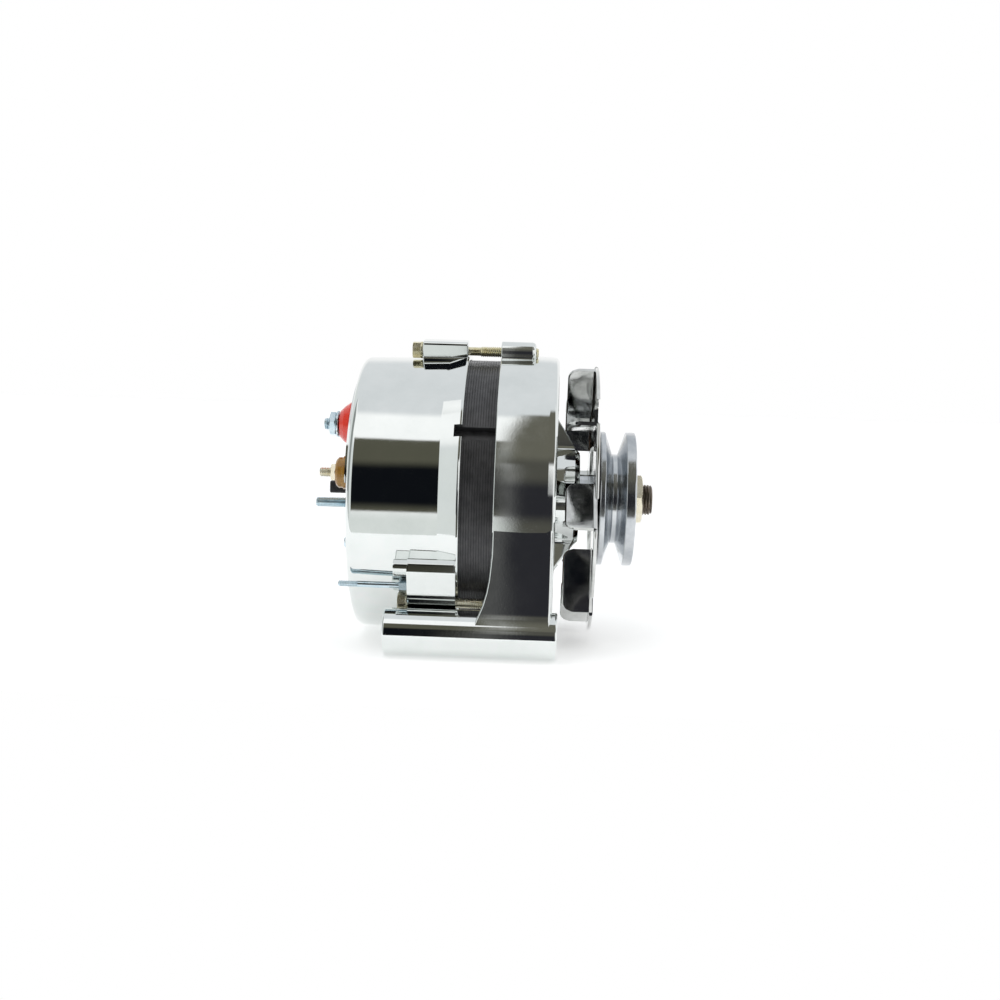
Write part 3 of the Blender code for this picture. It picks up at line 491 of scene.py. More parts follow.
SPRING = finish("spring_steel", [(0.36, 0.36, 0.37), (0.5, 0.5, 0.51)], (0.2, 0.3), scale=300.0,
                bump=0.000004)


# ---------------------------------------------------------------- housings

def lug_outline(angle, rho, tip_r, base_r, flare=3.5):
    """A lug's outline: a round tip about the bolt, and concave roots running out onto the casting."""
    side = []
    for k in range(7):
        t = math.radians(90 * k / 6)
        side.append((base_r + flare - flare * math.sin(t), tip_r + flare - flare * math.cos(t)))
    tip = [(rho + tip_r * math.sin(math.radians(a)),
            -tip_r * math.cos(math.radians(a))) for a in range(0, 181, 12)]
    side.append((base_r - 3.0, tip_r + flare + 0.5))
    right = [(out, half) for out, half in side]
    left = [(out, -half) for out, half in reversed(side)]
    outline = left + tip + right
    turn = math.radians(angle)
    return [(-out * math.cos(turn) + half * math.sin(turn), out * math.sin(turn) + half * math.cos(turn))
            for out, half in outline]


def rear_housing():
    """Slip-ring-end casting: deep cup, flared rim, bolt lugs, boss with its wing, terminal pad and hub."""
    inner = REAR_FACE + 3.4
    bm = bmesh.new()
    lathe(bm, rounded([
        (REAR_FACE, 10.5, 0.4), (REAR_FACE, BODY_R_REAR, 3.4), (RIM_REAR, BODY_R_FRONT - 0.4, 3.0),
        (RIM_FRONT - 1.2, DRUM_R, 0.8), (RIM_FRONT, DRUM_R - 0.2, 0.6), (RIM_FRONT, STATOR_R + 0.3, 0.3),
        (STATOR_REAR, STATOR_R + 0.3, 0), (STATOR_REAR, 66.0, 0.5), (inner, 65.9, 3.0), (inner, 18.0, 0.8),
        (-86.8, 17.0, 0.6), (-86.8, 12.3, 0.3), (REAR_FACE + 1.5, 12.3, 0), (REAR_FACE + 1.5, 10.5, 0),
    ]), FINE)
    cut = bmesh.new()
    for centre, r in (*TERMINAL_HOLES, (COVER_SCREW, 1.8)):
        lathe(cut, [(REAR_FACE - 4, 0), (REAR_FACE - 4, r), (REAR_FACE + 6, r), (REAR_FACE + 6, 0)], 24,
              centre)
    for angle in range(100, 350, 30):
        if angle != 220:
            outline = arc_points((0, 0), 40.0, angle - 7.4, angle + 7.4, 9)
            outline += [polar(38.2, angle + WINDOW_HALF), polar(28.6, angle + WINDOW_HALF)]
            outline += arc_points((0, 0), 27.0, angle + 7.0, angle - 7.0, 7)
            outline += [polar(28.6, angle - WINDOW_HALF), polar(38.2, angle - WINDOW_HALF)]
            prism(cut, outline, REAR_FACE - 1, inner + 1)
    for k in range(3):
        block(cut, (STATOR_REAR + 0.3, -(STATOR_R + 7), -NOTCH_WIDTH / 2),
              (RIM_FRONT + 1, -(STATOR_R - 1), NOTCH_WIDTH / 2), turn=NOTCH_ANGLE + 120 * k)
    body = combined(bm, cut, "DIFFERENCE")

    trims = []
    for k in (0, 2):
        angle = BOLT_ANGLES[k]
        lug = bmesh.new()
        right = [(-79.7, 5.6, 1.7), (-71.9, 4.7, 1.0), (-70.6, 5.6, 0), (-66.0, 6.0, 0)]
        left = [(rho, -half, fillet) for rho, half, fillet in reversed(right)]
        prism(lug, rounded(left + right, 4), BOLT_SEAT, RIM_FRONT - 0.8, 0.7)
        turn_about_shaft(lug, angle)
        trims.append(lug)
    boss = bmesh.new()
    corners = [(-60.0, -26.5, 0), (-70.6, -25.3, 1.6), (-73.0, -27.6, 1.2), (-73.0, -31.6, 1.8),
               (-67.4, -44.8, 1.6),
               (-65.0, -47.8, 1.4), (-60.5, -51.2, 1.4), (-56.5, -54.8, 1.6), (-50.0, -54.4, 0),
               (-48.0, -46.0, 0)]
    prism(boss, rounded(corners, 4), BOLT_SEAT, RIM_FRONT - 0.8, 0.8)
    trims.append(boss)
    wing = bmesh.new()
    corners = [(-61.0, -26.6, 0), (-70.2, -26.0, 1.0), (-72.5, -28.0, 1.0), (-72.5, -30.4, 1.2),
               (-70.0, -34.2, 1.2),
               (-61.0, -33.4, 0)]
    prism(wing, rounded(corners, 4), WING_REAR, BOLT_SEAT + 3, 0.8)
    trims.append(wing)
    pad = bmesh.new()
    prism(pad, sector(31.0, 60.0, 8.0, 76.0, 30), PAD_FACE, REAR_FACE + 1, 0.9)
    hole = bmesh.new()
    for centre, r in TERMINAL_HOLES:
        lathe(hole, [(REAR_FACE - 4, 0), (REAR_FACE - 4, r), (REAR_FACE + 6, r), (REAR_FACE + 6, 0)], 24,
              centre)
    trims.append(combined(pad, hole, "DIFFERENCE"))
    hub = bmesh.new()
    lathe(hub, rounded([(REAR_FACE - 1.2, 12.6, 0.4), (REAR_FACE - 1.2, 19.5, 0.8), (REAR_FACE + 1, 21.5, 0),
                        (REAR_FACE + 1, 12.6, 0)]), 96)
    trims.append(hub)
    piece("rear_housing_chrome", [body, *trims], CHROME, "housing", ["rear_housing"])


def front_housing():
    """Drive-end casting: ribbed drum, web and pivot tube, adjusting ear and capped bolt lugs."""
    bm = bmesh.new()
    lathe(bm, rounded([
        (DRUM_REAR, DRUM_R - 0.15, 0.7), (-14.0, DRUM_R, 0), (-4.2, DRUM_R - 0.1, 4.0),
        (-1.2, DRUM_R - 0.55, 1.0),
        (0, DRUM_R - 2.0, 0.9), (0, 60.5, 0.8), (-2.5, 59.0, 1.5), (-2.5, 45.0, 6.0),
        (NOSE_FRONT - 1.8, 24.8, 1.6),
        (NOSE_FRONT, NOSE_R - 0.6, 0.8), (NOSE_FRONT, 15.0, 0.4), (10.8, 15.0, 0), (10.8, 20.3, 0),
        (-1.2, 20.3, 0.3),
        (-1.2, NOSE_R, 0.5), (-6.0, 45.0, 4.0), (-6.0, 66.0, 2.0), (STATOR_FRONT, 66.0, 0.4),
        (STATOR_FRONT, STATOR_R + 0.3, 0), (DRUM_REAR, STATOR_R + 0.3, 0.4),
    ]), FINE)
    cut = bmesh.new()
    for k in range(RIBS):
        middle = RIB_ANGLE + 360 / RIBS * (k + 0.5)
        half_in, half_out = 180 / RIBS - 7.5, 180 / RIBS - 4.2
        outline = arc_points((0, 0), 56.0, middle - half_out + 2.5, middle + half_out - 2.5, 22)
        outline += [polar(54.6, middle + half_out - 0.7), polar(52.4, middle + half_out - 0.4)]
        outline += [polar(28.0, middle + half_in + 0.8), polar(26.6, middle + half_in - 1.2)]
        outline += arc_points((0, 0), 26.0, middle + half_in - 4.5, middle - half_in + 4.5, 12)
        outline += [polar(26.6, middle - half_in + 1.2), polar(28.0, middle - half_in - 0.8)]
        outline += [polar(52.4, middle - half_out + 0.4), polar(54.6, middle - half_out + 0.7)]
        prism(cut, outline, -9.0, NOSE_FRONT + 2)
    for k in range(3):
        centre = polar(23.8, 47 + 120 * k)
        lathe(cut, [(-8, 0), (-8, 1.7), (5, 1.7), (5, 0)], 20, centre)
    shells = [combined(bm, cut, "DIFFERENCE")]

    pivot = polar(PIVOT_RHO, PIVOT_ANGLE)
    tube = bmesh.new()
    lathe(tube, rounded([(TUBE_REAR, PIVOT_BORE_R, 0.7), (TUBE_REAR, PIVOT_R, 1.1),
                         (TUBE_FRONT, PIVOT_R, 1.1),
                         (TUBE_FRONT, PIVOT_BORE_R, 0.7)]), 96, pivot)
    shells.append(tube)

    # How the web's near face, rear edge and far side run as (z, place) from its top down
    near = [(-8.0, -70.8), (-13.0, -71.5), (-22.0, -72.4), (-34.0, -73.7), (-46.5, -75.1), (-49.0, -75.4),
            (-50.5, -75.7), (-52.0, -76.2), (-54.0, -77.0), (-56.0, -77.95), (-58.0, -78.75), (-60.4, -79.0),
            (-62.5, -77.5), (-66.2, -70.0), (-68.0, -64.0)]
    rear = [(-22.0, DRUM_REAR + 0.1), (-34.0, -30.4), (-40.0, -31.4), (-46.0, -33.0), (-51.0, -35.0),
            (-55.0, -36.8),
            (-58.0, WEB_REAR)]
    far = [(-62.5, -34.0), (-66.2, -46.0), (-68.0, -58.0)]
    web = bmesh.new()
    rings = []
    for k in range(81):
        z = -8.5 - 59.2 * k / 80
        near_y, back, corner = between(near, z), between(rear, z), 1.0
        inside_y = between(far, z)
        if near_y > inside_y - 2.5:
            break
        ring = [(back + 0.2, inside_y, z), (-1.0, inside_y, z)]
        for cx, start in ((-1.0 - corner, 0), (back + corner, 90)):
            for step in range(6):
                a = math.radians(start + 90 * step / 5)
                ring.append((cx + corner * math.cos(a), near_y + corner - corner * math.sin(a), z))
        rings.append(ring)
    loft(web, rings)
    bmesh.ops.recalc_face_normals(web, faces=web.faces)
    bore = bmesh.new()
    lathe(bore, [(WEB_REAR - 2, 0), (WEB_REAR - 2, DRUM_R - 1.6), (1, DRUM_R - 1.6), (1, 0)], FINE)
    shells.append(combined(web, bore, "DIFFERENCE"))

    ear_centre = polar(EAR_RHO, EAR_ANGLE)
    ear = bmesh.new()
    prism(ear, lug_outline(EAR_ANGLE, EAR_RHO, EAR_R, DRUM_R - 0.6, 4.0), EAR_REAR, EAR_FRONT, 1.2)
    hole = bmesh.new()
    lathe(hole, rounded([(EAR_REAR - 2, 0, 0), (EAR_REAR - 2, EAR_BORE_R + 2.6, 0),
                         (EAR_REAR + 0.6, EAR_BORE_R, 0),
                         (EAR_FRONT - 0.6, EAR_BORE_R, 0), (EAR_FRONT + 2, EAR_BORE_R + 2.6, 0),
                         (EAR_FRONT + 2, 0, 0)]), 48, ear_centre)
    shells.append(combined(ear, hole, "DIFFERENCE"))

    for angle in BOLT_ANGLES:
        lug = bmesh.new()
        prism(lug, lug_outline(angle, BOLT_RHO, 5.4, DRUM_R - 0.6, 1.6), DRUM_REAR, BOLT_NOSE - 1.4, 1.0)
        shells.append(lug)
        cap = bmesh.new()
        lathe(cap, rounded([(DRUM_REAR + 2, 0, 0), (DRUM_REAR + 2, 5.3, 0), (BOLT_NOSE, 5.3, 1.8),
                            (BOLT_NOSE, 0, 0)]),
              40, polar(BOLT_RHO, angle))
        shells.append(cap)
    piece("front_housing_chrome", shells, CHROME, "housing", ["front_housing"])


# ---------------------------------------------------------------- stator

def stator_core():
    """Laminated core: fine grooves between the sheets outside, 36 slots inside, three keyways."""
    slots, bore, slot_r, half = 36, 52.6, 62.5, 2.6
    mouth, floor = math.degrees(half * 0.85 / bore), math.degrees(half / slot_r)
    inner, angles = [], []
    for k in range(slots):
        a = 360 / slots * k
        for rho, angle in ((bore, a - mouth), (slot_r, a - floor), (slot_r, a + floor), (bore, a + mouth)):
            inner.append((rho, angle))
            angles.append(angle)
    rear, front = STATOR_REAR + 0.3, STATOR_FRONT - 0.3
    sheets = 19
    pitch = (front - rear) / sheets
    steps = [(rear, None)]
    for k in range(sheets):
        x = rear + pitch * k
        steps += [(x, -0.22), (x + 0.12, 0.0), (x + pitch - 0.24, 0.0), (x + pitch - 0.12, -0.22)]
    steps.append((front, -0.22))
    bm = bmesh.new()
    rings = []
    for x, drop in steps:
        ring = []
        for rho, angle in inner:
            r = rho if drop is None else STATOR_R + drop
            ring.append(bm.verts.new((x, *polar(r, angle))))
        rings.append(ring)
    rings.append([bm.verts.new((front, *polar(rho, angle))) for rho, angle in inner])
    for one, other in zip(rings, rings[1:] + rings[:1]):
        for i in range(len(one)):
            j = (i + 1) % len(one)
            bm.faces.new((one[i], one[j], other[j], other[i]))
    cut = bmesh.new()
    for k in range(3):
        block(cut, (STATOR_REAR - 1, -(STATOR_R + 4), -NOTCH_WIDTH / 2),
              (STATOR_FRONT + 1, -(STATOR_R - NOTCH_DEPTH), NOTCH_WIDTH / 2), turn=NOTCH_ANGLE + 120 * k)
    core = combined(bm, cut, "DIFFERENCE")
    piece("stator_laminations", [core], LAMINATION, "housing", ["stator_core"], sharp=25,
          weighted=False)


# ---------------------------------------------------------------- fan, pulley and shaft

def fan():
    """Pressed fan: raised centre, windows where the blades were bent out, and the rounded blades."""
    plate, sheet, raised = FAN_PLATE, FAN_SHEET, FAN_RAISED
    bm = bmesh.new()
    lathe(bm, rounded([
        (plate + raised, 8.7, 0.3), (plate + raised, 31.6, 2.0), (plate, 36.2, 2.0), (plate, FAN_R, 0.8),
        (plate + sheet, FAN_R, 0.8), (plate + sheet, 36.8, 2.5), (plate + raised + sheet, 32.4, 2.5),
        (plate + raised + sheet, 8.7, 0.3),
    ]), FINE)
    half = BLADE_LENGTH / 2
    lean = Matrix.Rotation(math.radians(BLADE_SLANT), 4, "X")
    cut = bmesh.new()
    blades = []
    for k in range(BLADES):
        spin = Matrix.Rotation(math.radians(-BLADE_ANGLE - 360 / BLADES * k), 4, "X")
        place = spin @ Matrix.Translation((0, -BLADE_MIDDLE_R, 0)) @ lean
        outline = rounded([(-half - 9, -0.9, 0), (half + 0.7, -0.9, 0), (half + 0.7, BLADE_DEPTH - 2, 3.2),
                           (-half - 9, BLADE_DEPTH - 2, 0)], 5)
        window = bmesh.new()
        prism(window, outline, plate - 1, plate + sheet + 1)
        bmesh.ops.transform(window, matrix=place, verts=window.verts)
        mesh = mesh_from(window)
        cut.from_mesh(mesh)
        bpy.data.meshes.remove(mesh)
        blade = bmesh.new()
        rings = []
        count = 28
        for i in range(count + 1):
            y = -half + BLADE_LENGTH * i / count
            edge = min(y + half, half - y)
            corner = 5.0
            tip = 0.0 if edge >= corner else corner - math.sqrt(max(0.0, corner ** 2 - (corner - edge) ** 2))
            tip = min(tip, 4.6)
            end = plate - BLADE_DEPTH + tip
            section = rounded([
                (plate + sheet, -4.2, 0), (plate + sheet, 0.0, 2.4), (end, 0.0, 0.8),
                (end, -sheet, 0.8), (plate, -sheet, 1.0), (plate, -4.2, 0),
            ], 5)
            ring = []
            for x, z in section:
                depth = max(0.0, min(1.0, (plate - x) / BLADE_DEPTH))
                ring.append((x, y, z - 1.1 * depth ** 2 * math.sin(math.pi * (y + half) / BLADE_LENGTH)))
            rings.append(ring)
        loft(blade, rings)
        bmesh.ops.transform(blade, matrix=place, verts=blade.verts)
        blades.append(blade)
    disc = combined(bm, cut, "DIFFERENCE")
    # The fan's sheet carries painted reflections in its colour: a darker base with dark and light blotches.
    piece("fan_chrome", [disc, *blades], SHEET_WITH_PAINTED_REFLECTIONS, "rotor", ["fan"], sharp=40)


def pulley():
    """V-belt pulley, split lock washer, nut and the threaded shaft."""
    half_top, half_floor = GROOVE_TOP / 2, GROOVE_FLOOR / 2
    recess_r, recess_x = 16.0, PULLEY_FRONT - 6.0
    bm = bmesh.new()
    lathe(bm, rounded([
        (PULLEY_REAR, 8.7, 0.3), (PULLEY_REAR, PULLEY_R, 0.7), (GROOVE_CENTRE - half_top, PULLEY_R, 0.6),
        (GROOVE_CENTRE - half_floor, GROOVE_R, 0.8), (GROOVE_CENTRE + half_floor, GROOVE_R, 0.8),
        (GROOVE_CENTRE + half_top, PULLEY_R, 0.6), (PULLEY_FRONT, PULLEY_R, 0.9), (PULLEY_FRONT, 27.5, 0.3),
        (PULLEY_FRONT - 0.6, 27.0, 0.3), (PULLEY_FRONT - 0.6, 21.5, 0.3), (PULLEY_FRONT, 21.0, 0.3),
        (PULLEY_FRONT, recess_r, 0.6), (recess_x, recess_r, 0.8), (recess_x, 8.7, 0.3),
    ]), FINE)
    piece("pulley_turned", [bm], STEEL, "rotor", ["pulley"])

    washer = bmesh.new()
    lathe(washer, rounded([(recess_x + 0.3, 8.2, 0.2), (recess_x + 0.3, 13.6, 0.4),
                           (recess_x + 2.4, 13.6, 0.5),
                           (recess_x + 2.4, 8.2, 0.2)]), 64)
    slit = bmesh.new()
    block(slit, (recess_x - 1, -20, -0.7), (recess_x + 4, -6, 0.7))
    split = combined(washer, slit, "DIFFERENCE")
    piece("spring_lock_washer", [split], STEEL, "rotor", ["lock_washer"])
    nut = nut_shape((0, 0), 24.0, recess_x + 2.7, 44.6, 8.2, turn=8.0)
    piece("pulley_nut_hex", [nut], CREAM, "rotor", ["pulley_nut"])

    shaft = bmesh.new()
    lathe(shaft, rounded([(-97.6, 0, 0), (-97.6, 8.4, 0.8), (-12.7, 8.4, 0.3), (-12.7, 11.5, 0.5),
                          (-1.3, 11.5, 0.5),
                          (-1.3, 8.4, 0.3), (33.5, 8.4, 0.3), (33.8, 7.0, 0), (36.0, 7.0, 0),
                          (36.0, 0, 0)]), 64)
    thread = bmesh.new()
    threaded(thread, 34.0, 49.8, 7.9, 1.5, 0.75, segments=56, tip=1.3)
    piece("rotor_shaft_turned", [shaft, thread], SHAFT, "rotor", ["rotor_shaft"])


# ---------------------------------------------------------------- fasteners

def washer_shell(x0, x1, bore, r, centre, fillet=0.35):
    """A round washer with softened edges."""
    bm = bmesh.new()
    lathe(bm, rounded([(x0, bore, 0.15), (x0, r, fillet), (x1, r, fillet), (x1, bore, 0.15)], 4), 48, centre)
    return bm


def rod_shell(x0, x1, r, centre, fillet=0.3, segments=32):
    """A round bar with softened ends."""
    bm = bmesh.new()
    lathe(bm, rounded([(x0, 0, 0), (x0, r, fillet), (x1, r, fillet), (x1, 0, 0)], 4), segments, centre)
    return bm


def fasteners():
    """Through bolts, long stud and its nut, and the slotted cover screw."""
    for k, angle in enumerate(BOLT_ANGLES):
        centre = polar(BOLT_RHO, angle)
        collar = washer_shell(BOLT_SEAT - 1.5, BOLT_SEAT - 0.3, 0.5, 4.2, centre)
        head = nut_shape(centre, 7.6, BOLT_SEAT - 5.4, BOLT_SEAT - 1.0, 0, turn=angle + 30, both=False)
        shank = rod_shell(BOLT_SEAT - 1.0, -40.0 if k != 1 else -46.0, 2.1, centre)
        thread = bmesh.new()
        threaded(thread, -40.2 if k != 1 else -46.2, BOLT_NOSE + 1.2, BOLT_R, 1.05, 0.42, centre)
        piece(f"through_bolt_{k + 1}_threaded", [collar, head, shank, thread], YELLOW if k != 1 else CREAM,
              "housing",
              [f"through_bolt_{k + 1}"])
    stud = polar(STUD_RHO, STUD_ANGLE)
    smooth = rod_shell(STUD_TIP + 9, BOLT_SEAT + 7.5, STUD_R, stud)
    thread = bmesh.new()
    threaded(thread, STUD_TIP, STUD_TIP + 10, STUD_R, 0.8, 0.3, stud)
    piece("long_stud_threaded", [smooth, thread], ZINC, "housing", ["long_stud"])
    nut = nut_shape(stud, 6.0, BOLT_SEAT - 4.2, BOLT_SEAT - 0.3, STUD_R + 0.3, turn=STUD_ANGLE)
    piece("long_stud_hex_nut", [nut], ZINC, "housing", ["long_stud_nut"])

    seat = REAR_FACE - 0.3
    head = bmesh.new()
    lathe(head, rounded([(seat + 4, 0, 0), (seat + 4, 1.4, 0.2), (seat, 1.4, 0), (seat, 3.2, 0.3),
                         (seat - 1.6, 2.8, 0.7), (seat - 2.4, 0, 0)]), 40, COVER_SCREW)
    slot = bmesh.new()
    block(slot, (seat - 3, COVER_SCREW[0] - 4, COVER_SCREW[1] - 0.4),
          (seat - 1.4, COVER_SCREW[0] + 4, COVER_SCREW[1] + 0.4))
    piece("cover_screw_slotted", [combined(head, slot, "DIFFERENCE")], ZINC, "housing", ["cover_screw"])


# ---------------------------------------------------------------- terminals

def terminals():
    """Battery, field and ground terminals and the plug block on the rear face."""
    face = PAD_FACE
    dome = bmesh.new()
    lathe(dome, rounded([(face - 0.3, 3.4, 0), (face - 0.3, 10.9, 0.3), (face - 1.7, 11.0, 0.6),
                         (face - 4.6, 9.0, 3.0),
                         (face - 6.8, 6.8, 1.2), (face - 7.2, 5.6, 0.4), (face - 7.2, 3.4, 0.2)]), 96,
                         BATTERY)
    piece("battery_insulator_dome", [dome], RED, "housing", ["battery_insulator"])
    collar = bmesh.new()
    lathe(collar, rounded([(face - 0.3, 2.7, 0), (face - 0.3, 8.1, 0.4), (face - 2.4, 8.1, 0.2),
                           (face - 2.7, 7.5, 0.2),
                           (face - 4.8, 7.5, 0.8), (face - 6.0, 6.4, 0.6), (face - 6.0, 2.7, 0.2)]), 96,
                           FIELD)
    piece("field_insulator_collar", [collar], AMBER, "housing", ["field_insulator"])
    for name, centre, r, base, tip, pitch, look in (
        ("battery_stud", BATTERY, 3.0, -80.8, -116.2, 1.0, ZINC),
        ("field_stud", FIELD, 2.3, REAR_FACE + 6, -115.6, 0.8, CREAM),
        ("ground_stud", GROUND, 2.4, REAR_FACE + 6, -116.6, 0.8, ZINC),
    ):
        smooth = rod_shell(REAR_FACE - 0.5, base, r * 0.96, centre)
        thread = bmesh.new()
        threaded(thread, tip, REAR_FACE, r, pitch, r * 0.14, centre)
        piece(f"{name}_threaded", [smooth, thread], look, "housing", [name])
    washer = washer_shell(face - 8.7, face - 7.5, 3.4, 6.6, BATTERY)
    piece("battery_washer_round", [washer], ZINC, "housing", ["battery_washer"])
    for name, centre, flats, x0, x1, bore, turn, look in (
        ("battery_nut", BATTERY, 11.0, face - 12.0, face - 9.0, 3.4, 10.0, ZINC),
        ("field_nut", FIELD, 8.0, face - 8.6, face - 6.3, 2.6, 5.0, CREAM),
        ("ground_nut", GROUND, 9.0, REAR_FACE - 2.7, REAR_FACE - 0.3, 2.7, 20.0, ZINC),
    ):
        piece(f"{name}_hex", [nut_shape(centre, flats, x0, x1, bore, turn)], look, "housing", [name])

    shell = bmesh.new()
    outline = rounded([(-27.0, 0.6, 1.0), (-27.0, 6.6, 1.0), (-15.6, 6.6, 1.0), (-15.6, 0.6, 1.0)], 4)
    prism(shell, outline, -113.2, REAR_FACE - 0.3, 0.5)
    hollow = bmesh.new()
    outline = rounded([(-26.0, 1.7, 0.5), (-26.0, 5.5, 0.5), (-16.6, 5.5, 0.5), (-16.6, 1.7, 0.5)], 3)
    prism(hollow, outline, -114.5, -104.0)
    ridge = bmesh.new()
    block(ridge, (-108.0, -26.3, 5.4), (REAR_FACE - 1.0, -16.3, 6.55), 0.3)
    piece("plug_block_moulded", [combined(shell, hollow, "DIFFERENCE"), ridge], BLACK, "housing",
          ["plug_block"])


# ---------------------------------------------------------------- brush springs

def springs():
    """Round-wire compression springs for the inner and outer brushes."""
    for name, x in (("inner", -73.3), ("outer", -80.3)):
        z0, z1, turns, r, wire = -44.6, -30.4, 5, 1.5, 0.32
        steps, sides = 22, 10
        total = turns * steps
        rings = []
        for i in range(total + 1):
            a = 2 * math.pi * i / steps
            share = i / total
            flat_ends = share + 0.09 * math.sin(2 * math.pi * share) * -0.6
            outward = Vector((math.cos(a), math.sin(a), 0))
            centre = Vector((x, 0, z0 + wire + (z1 - z0 - 2 * wire) * flat_ends)) + outward * r
            rings.append([
                centre + wire * (outward * math.cos(2 * math.pi * k / sides)
                                 + Vector((0, 0, math.sin(2 * math.pi * k / sides))))
                for k in range(sides)
            ])
        bm = bmesh.new()
        loft(bm, rings)
        made = piece(f"{name}_brush_spring_wire", [bm], SPRING, "housing", [f"{name}_brush_spring"],
                     sharp=60, weighted=False)
        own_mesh(made)


# ---------------------------------------------------------------- carried-over CAD nodes

def dress_cad_nodes():
    """Inner and small nodes keep their CAD shape, with a material of their own."""
    looks = {
        "stator_winding": COPPER, "rear_claw_pole": POLE, "front_claw_pole": POLE, "field_coil": COPPER,
        "slip_ring_sleeve": BLACK, "slip_ring_inner": COPPER, "slip_ring_outer": COPPER, "fan_spacer": STEEL,
        "bearing_retainer": STEEL, "heat_sink_negative": ALUMINIUM, "heat_sink_positive": ALUMINIUM,
        "regulator": BLACK, "brush_holder": BLACK, "inner_brush": CARBON, "outer_brush": CARBON,
        "plug_blade": ZINC,
    }
    for name, node in NODES.items():
        if node.hide_render:
            continue
        look = looks.get(name)
        if look is None:
            look = BEARING if "bearing" in name or "diode" in name else ZINC
        node.data.materials.clear()
        node.data.materials.append(look)


# ---------------------------------------------------------------- studio

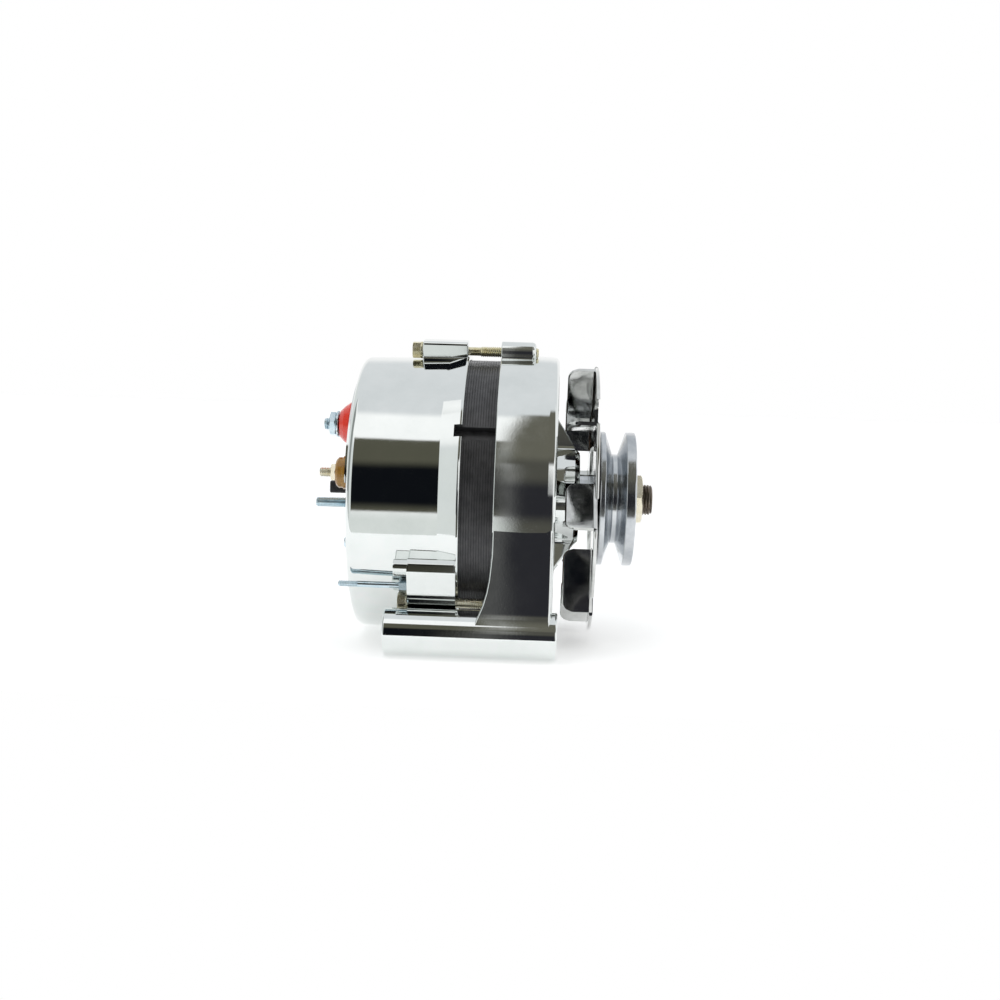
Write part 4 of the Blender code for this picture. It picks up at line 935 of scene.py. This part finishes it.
def studio():
    """Soft white surround with the dark areas that chrome mirrors, a pale floor, a lamp and the camera."""
    world = bpy.data.worlds.new("studio")
    bpy.context.scene.world = world
    world.use_nodes = True
    tree = world.node_tree
    background = tree.nodes["Background"]
    split = tree.nodes.new("ShaderNodeSeparateXYZ")
    tree.links.new(tree.nodes.new("ShaderNodeTexCoord").outputs["Generated"], split.inputs[0])
    x, y, z = (split.outputs[k] for k in "XYZ")
    up = maths(tree, "MULTIPLY", maths(tree, "ARCSINE", z), 180 / math.pi)
    round_it = maths(tree, "MULTIPLY", maths(tree, "ARCTAN2", x, maths(tree, "MULTIPLY", y, -1.0)),
                     180 / math.pi)

    def band(value, low, high, soft):
        """1 between two values and 0 outside them, with soft edges."""
        rise = tree.nodes.new("ShaderNodeMapRange")
        rise.interpolation_type = "SMOOTHSTEP"
        rise.inputs["From Min"].default_value = low - soft / 2
        rise.inputs["From Max"].default_value = low + soft / 2
        tree.links.new(value, rise.inputs["Value"])
        fall = tree.nodes.new("ShaderNodeMapRange")
        fall.interpolation_type = "SMOOTHSTEP"
        fall.inputs["From Min"].default_value = high - soft / 2
        fall.inputs["From Max"].default_value = high + soft / 2
        fall.inputs["To Min"].default_value = 1.0
        fall.inputs["To Max"].default_value = 0.0
        tree.links.new(value, fall.inputs["Value"])
        return maths(tree, "MULTIPLY", rise.outputs[0], fall.outputs[0])

    def over(under, mask, colour):
        """Lays a colour over a colour or socket where the mask is 1."""
        mix = tree.nodes.new("ShaderNodeMix")
        mix.data_type = "RGBA"
        tree.links.new(mask, mix.inputs["Factor"])
        if isinstance(under, tuple):
            mix.inputs["A"].default_value = (*under, 1)
        else:
            tree.links.new(under, mix.inputs["A"])
        mix.inputs["B"].default_value = (*colour, 1)
        return mix.outputs["Result"]

    # Each area: lowest and highest elevation, left and right bearing from -Y, softness (degrees), colour
    ahead = maths(tree, "LESS_THAN", y, 0.0)
    sky = over((1.0, 1.0, 1.0), band(up, 30, 200, 16), (0.80, 0.82, 0.84))
    sky = over(sky, maths(tree, "MULTIPLY", band(up, 40, 70, 6), ahead), (1.15, 1.15, 1.15))
    for low, high, left, right, soft, colour in (
        (-120, 40, -140, -24, 20, (0.80, 0.83, 0.82)),
        (-120, 60, -100, -62, 14, (0.30, 0.32, 0.31)),
        (-120, -14, -30, 40, 12, (0.80, 0.83, 0.81)),
        (-12, 48, -24, -3, 2.4, (0.10, 0.098, 0.072)),
        (-8, 27, -23, -3, 9, (0.005, 0.006, 0.008)),
        (30, 72, -3, 60, 3, (0.145, 0.14, 0.112)),
        (-36, 34, -3, 25, 8, (0.085, 0.083, 0.07)),
        (-14, 16, -3, 23, 12, (0.026, 0.026, 0.031)),
        (6, 30, 18, 42, 4, (1.1, 1.1, 1.1)),
        (-60, -6, 30, 90, 10, (0.30, 0.31, 0.31)),
    ):
        region = maths(tree, "MULTIPLY", band(up, low, high, soft), band(round_it, left, right, min(soft, 4)))
        sky = over(sky, region, colour)
    # Seen directly, the surround is plain white from every side
    sky = over(sky, tree.nodes.new("ShaderNodeLightPath").outputs["Is Camera Ray"], (1.0, 1.0, 1.0))
    tree.links.new(sky, background.inputs["Color"])
    background.inputs["Strength"].default_value = 1.0

    floor_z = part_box("front_housing")[0].z
    mesh = bpy.data.meshes.new("floor")
    reach, front = FLOOR_REACH, ORIGIN.y - FLOOR_FRONT
    mesh.from_pydata([(-reach, front, floor_z), (reach, front, floor_z), (reach, reach, floor_z),
                      (-reach, reach, floor_z)], [], [(0, 1, 2, 3)])
    floor = bpy.data.objects.new("floor", mesh)
    bpy.context.scene.collection.objects.link(floor)
    paper = bpy.data.materials.new("floor_paper")
    paper.use_nodes = True
    shader = paper.node_tree.nodes["Principled BSDF"]
    where = paper.node_tree.nodes.new("ShaderNodeTexCoord").outputs["Object"]
    tint = ramp(paper.node_tree, noise(paper.node_tree, where, 3.0),
                [(0.3, (0.93, 0.93, 0.93)), (0.7, (0.95, 0.95, 0.95))])
    paper.node_tree.links.new(tint, shader.inputs["Base Color"])
    shader.inputs["Roughness"].default_value = 0.9
    shader.inputs["Specular IOR Level"].default_value = 0.1
    shader.inputs["Emission Color"].default_value = (1, 1, 1, 1)
    shader.inputs["Emission Strength"].default_value = 0.36
    mesh.materials.append(paper)

    lamp = bpy.data.lights.new("overhead", "AREA")
    lamp.shape = "RECTANGLE"
    lamp.size, lamp.size_y = 0.9, 0.6
    lamp.energy = 1.5
    lamp_object = bpy.data.objects.new("overhead", lamp)
    lamp_object.location = ORIGIN + Vector((-0.15, -0.35, 0.75))
    lamp_object.rotation_euler = (ORIGIN - lamp_object.location).to_track_quat("-Z", "Y").to_euler()
    bpy.context.scene.collection.objects.link(lamp_object)
    lamp_object.visible_glossy = False

    aim = Vector(VIEW_AIM) * MM + ORIGIN
    around, above = math.radians(VIEW_AROUND), math.radians(VIEW_ABOVE)
    back = Vector((math.sin(around) * math.cos(above), -math.cos(around) * math.cos(above), math.sin(above)))
    lens = bpy.data.cameras.new("camera")
    lens.sensor_width = SENSOR_WIDTH
    lens.lens = SENSOR_WIDTH * FOCAL_PER_WIDTH
    lens.clip_start = 0.01
    camera = bpy.data.objects.new("camera", lens)
    roll = Matrix.Rotation(math.radians(VIEW_ROLL), 4, "Z")
    facing = (-back).to_track_quat("-Z", "Y").to_matrix().to_4x4()
    camera.matrix_world = Matrix.Translation(aim + back * VIEW_DISTANCE) @ facing @ roll
    bpy.context.scene.collection.objects.link(camera)
    bpy.context.scene.camera = camera
    bpy.context.scene.view_settings.view_transform = "Standard"


rear_housing()
front_housing()
stator_core()
fan()
pulley()
fasteners()
terminals()
springs()
dress_cad_nodes()
studio()
